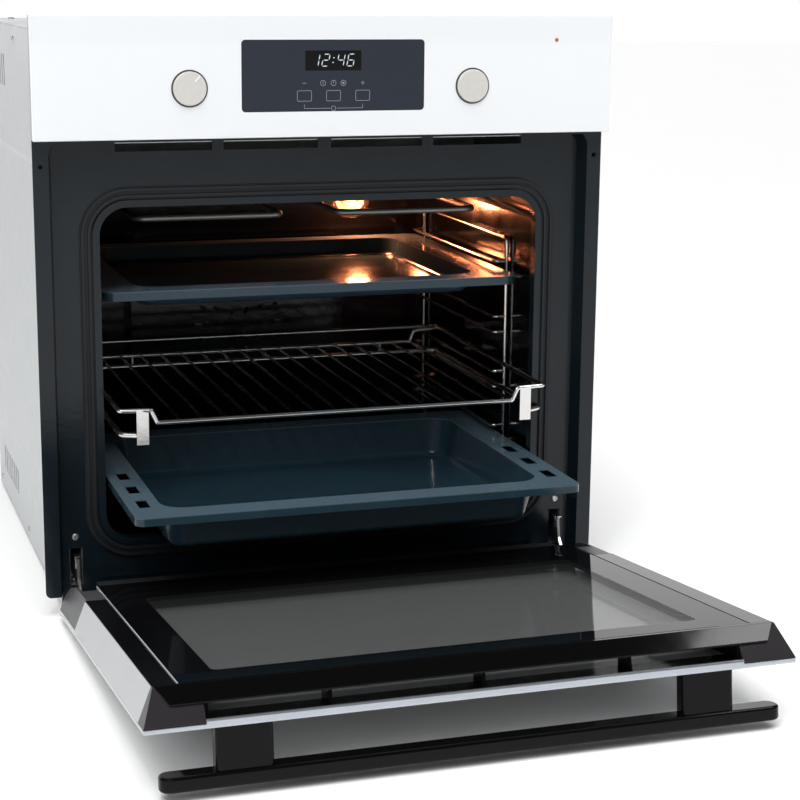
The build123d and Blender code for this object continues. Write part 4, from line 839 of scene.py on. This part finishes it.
# %% Panel screws
bpy.ops.object.select_all(action="DESELECT")
bpy.ops.mesh.primitive_cylinder_add(vertices=24, radius=0.0038, depth=0.0030)
head = bpy.context.object
choose(head, "polygons", lambda p: p.z > 0.0014)
bpy.ops.mesh.bevel(offset=0.0013, segments=4, affect="EDGES")
bpy.ops.object.mode_set(mode="OBJECT")
for turn in (0, math.pi / 2):
    bpy.ops.object.select_all(action="DESELECT")
    bpy.ops.mesh.primitive_cube_add(size=1, location=(0, 0, 0.0014), rotation=(0, 0, turn))
    blade = bpy.context.object
    blade.scale = (0.0044, 0.0010, 0.0020)
    cut = head.modifiers.new("recess", "BOOLEAN")
    cut.operation, cut.object, cut.solver = "DIFFERENCE", blade, "EXACT"
    bpy.ops.object.select_all(action="DESELECT")
    bpy.context.view_layer.objects.active = head
    head.select_set(True)
    bpy.ops.object.modifier_apply(modifier="recess")
    bpy.data.objects.remove(blade)

shell_low, shell_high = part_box("side_panels")
top_z, back_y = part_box("top_cover")[1].z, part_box("back_panel")[1].y
places = []
for side, x in ((-1, shell_low.x), (1, shell_high.x)):
    for y, z in ((0.045, 0.012), (0.27, 0.012), (0.52, 0.012), (0.045, 0.55), (0.27, 0.562),
                 (0.52, 0.562), (0.53, 0.28)):
        places.append(((x, y, z), Matrix.Rotation(math.pi / 2 * side, 4, "Y")))
for x, z in ((-0.26, 0.02), (0.0, 0.02), (0.26, 0.02), (-0.26, 0.29), (0.26, 0.29), (-0.26, 0.56),
             (0.0, 0.565), (0.26, 0.56)):
    places.append(((x, back_y, z), Matrix.Rotation(-math.pi / 2, 4, "X")))
for x, y in ((-0.25, 0.03), (0.0, 0.03), (0.25, 0.03), (-0.25, 0.51), (0.25, 0.51)):
    places.append(((x, y, top_z), Matrix.Identity(4)))
for side in (-1, 1):
    places.append(((side * 0.2625, 0.0172, 0.074), Matrix.Rotation(math.pi / 2, 4, "X")))
screws = []
for number, (place, facing) in enumerate(places):
    uneven_turn = Matrix.Rotation(0.7 * number, 4, "Z")
    screws.append(copy_to(head, Matrix.Translation(place) @ facing @ uneven_turn))
bpy.data.objects.remove(head)
join_all("panel_screws", screws, "housing", plated("screw_zinc", (0.62, 0.62, 0.60), 0.3))

# %% [markdown]
# ## Painted shade behind the cabinet screw holes
# The two screws that hold the oven in its cabinet pass through the front frame's flanges. Behind
# each hole sits a black plug, painted shade that keeps the hole as dark as the shade behind a
# flange. It is a short cylinder with its back edge bevelled. Its front face is inset and pushed in
# for the bore.

# %% Painted shade plugs behind the screw holes
frame_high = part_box("front_frame")[1]
hole_x, hole_z = frame_high.x - 0.00775, fascia_low.z - 0.0255
shade_plugs = []
for side in (-1, 1):
    bpy.ops.object.select_all(action="DESELECT")
    bpy.ops.mesh.primitive_cylinder_add(vertices=32, radius=0.0047, depth=0.0070,
                                        location=(side * hole_x, 0.0036, hole_z),
                                        rotation=(math.pi / 2, 0, 0))
    shade_plug = bpy.context.object
    bpy.ops.object.transform_apply(location=True, rotation=True, scale=True)
    choose(shade_plug, "polygons", lambda p: p.y < 0.0002)
    bpy.ops.mesh.inset(thickness=0.0026)
    bpy.ops.mesh.extrude_region_move(TRANSFORM_OT_translate={"value": (0, 0.0060, 0)})
    bpy.ops.object.mode_set(mode="OBJECT")
    choose(shade_plug, "polygons", lambda p: p.y > 0.0070)
    bpy.ops.mesh.bevel(offset=0.0008, segments=3, affect="EDGES")
    bpy.ops.object.mode_set(mode="OBJECT")
    shade_plugs.append(shade_plug)
# Painted shade: the black plugs keep the screw holes dark, as the shade behind the flange would.
join_all("screw_bushings", shade_plugs, "housing",
         moulding("bushing_plastic", (0.012, 0.012, 0.013), 0.45))

# %% [markdown]
# ## Floor finish
# The floor must not compete, so it is a pale matt paint with only a trace of unevenness.

# %% Floor finish
paint = Finish("pale_floor", (0.86, 0.86, 0.86), 0.7)
paint.set("Base Color", paint.blend(paint.noise(0.6, detail=4), (0.85, 0.85, 0.85),
                                    (0.87, 0.87, 0.87)))
floor.data.materials.append(paint.material)
print("floor painted with", paint.material.name)
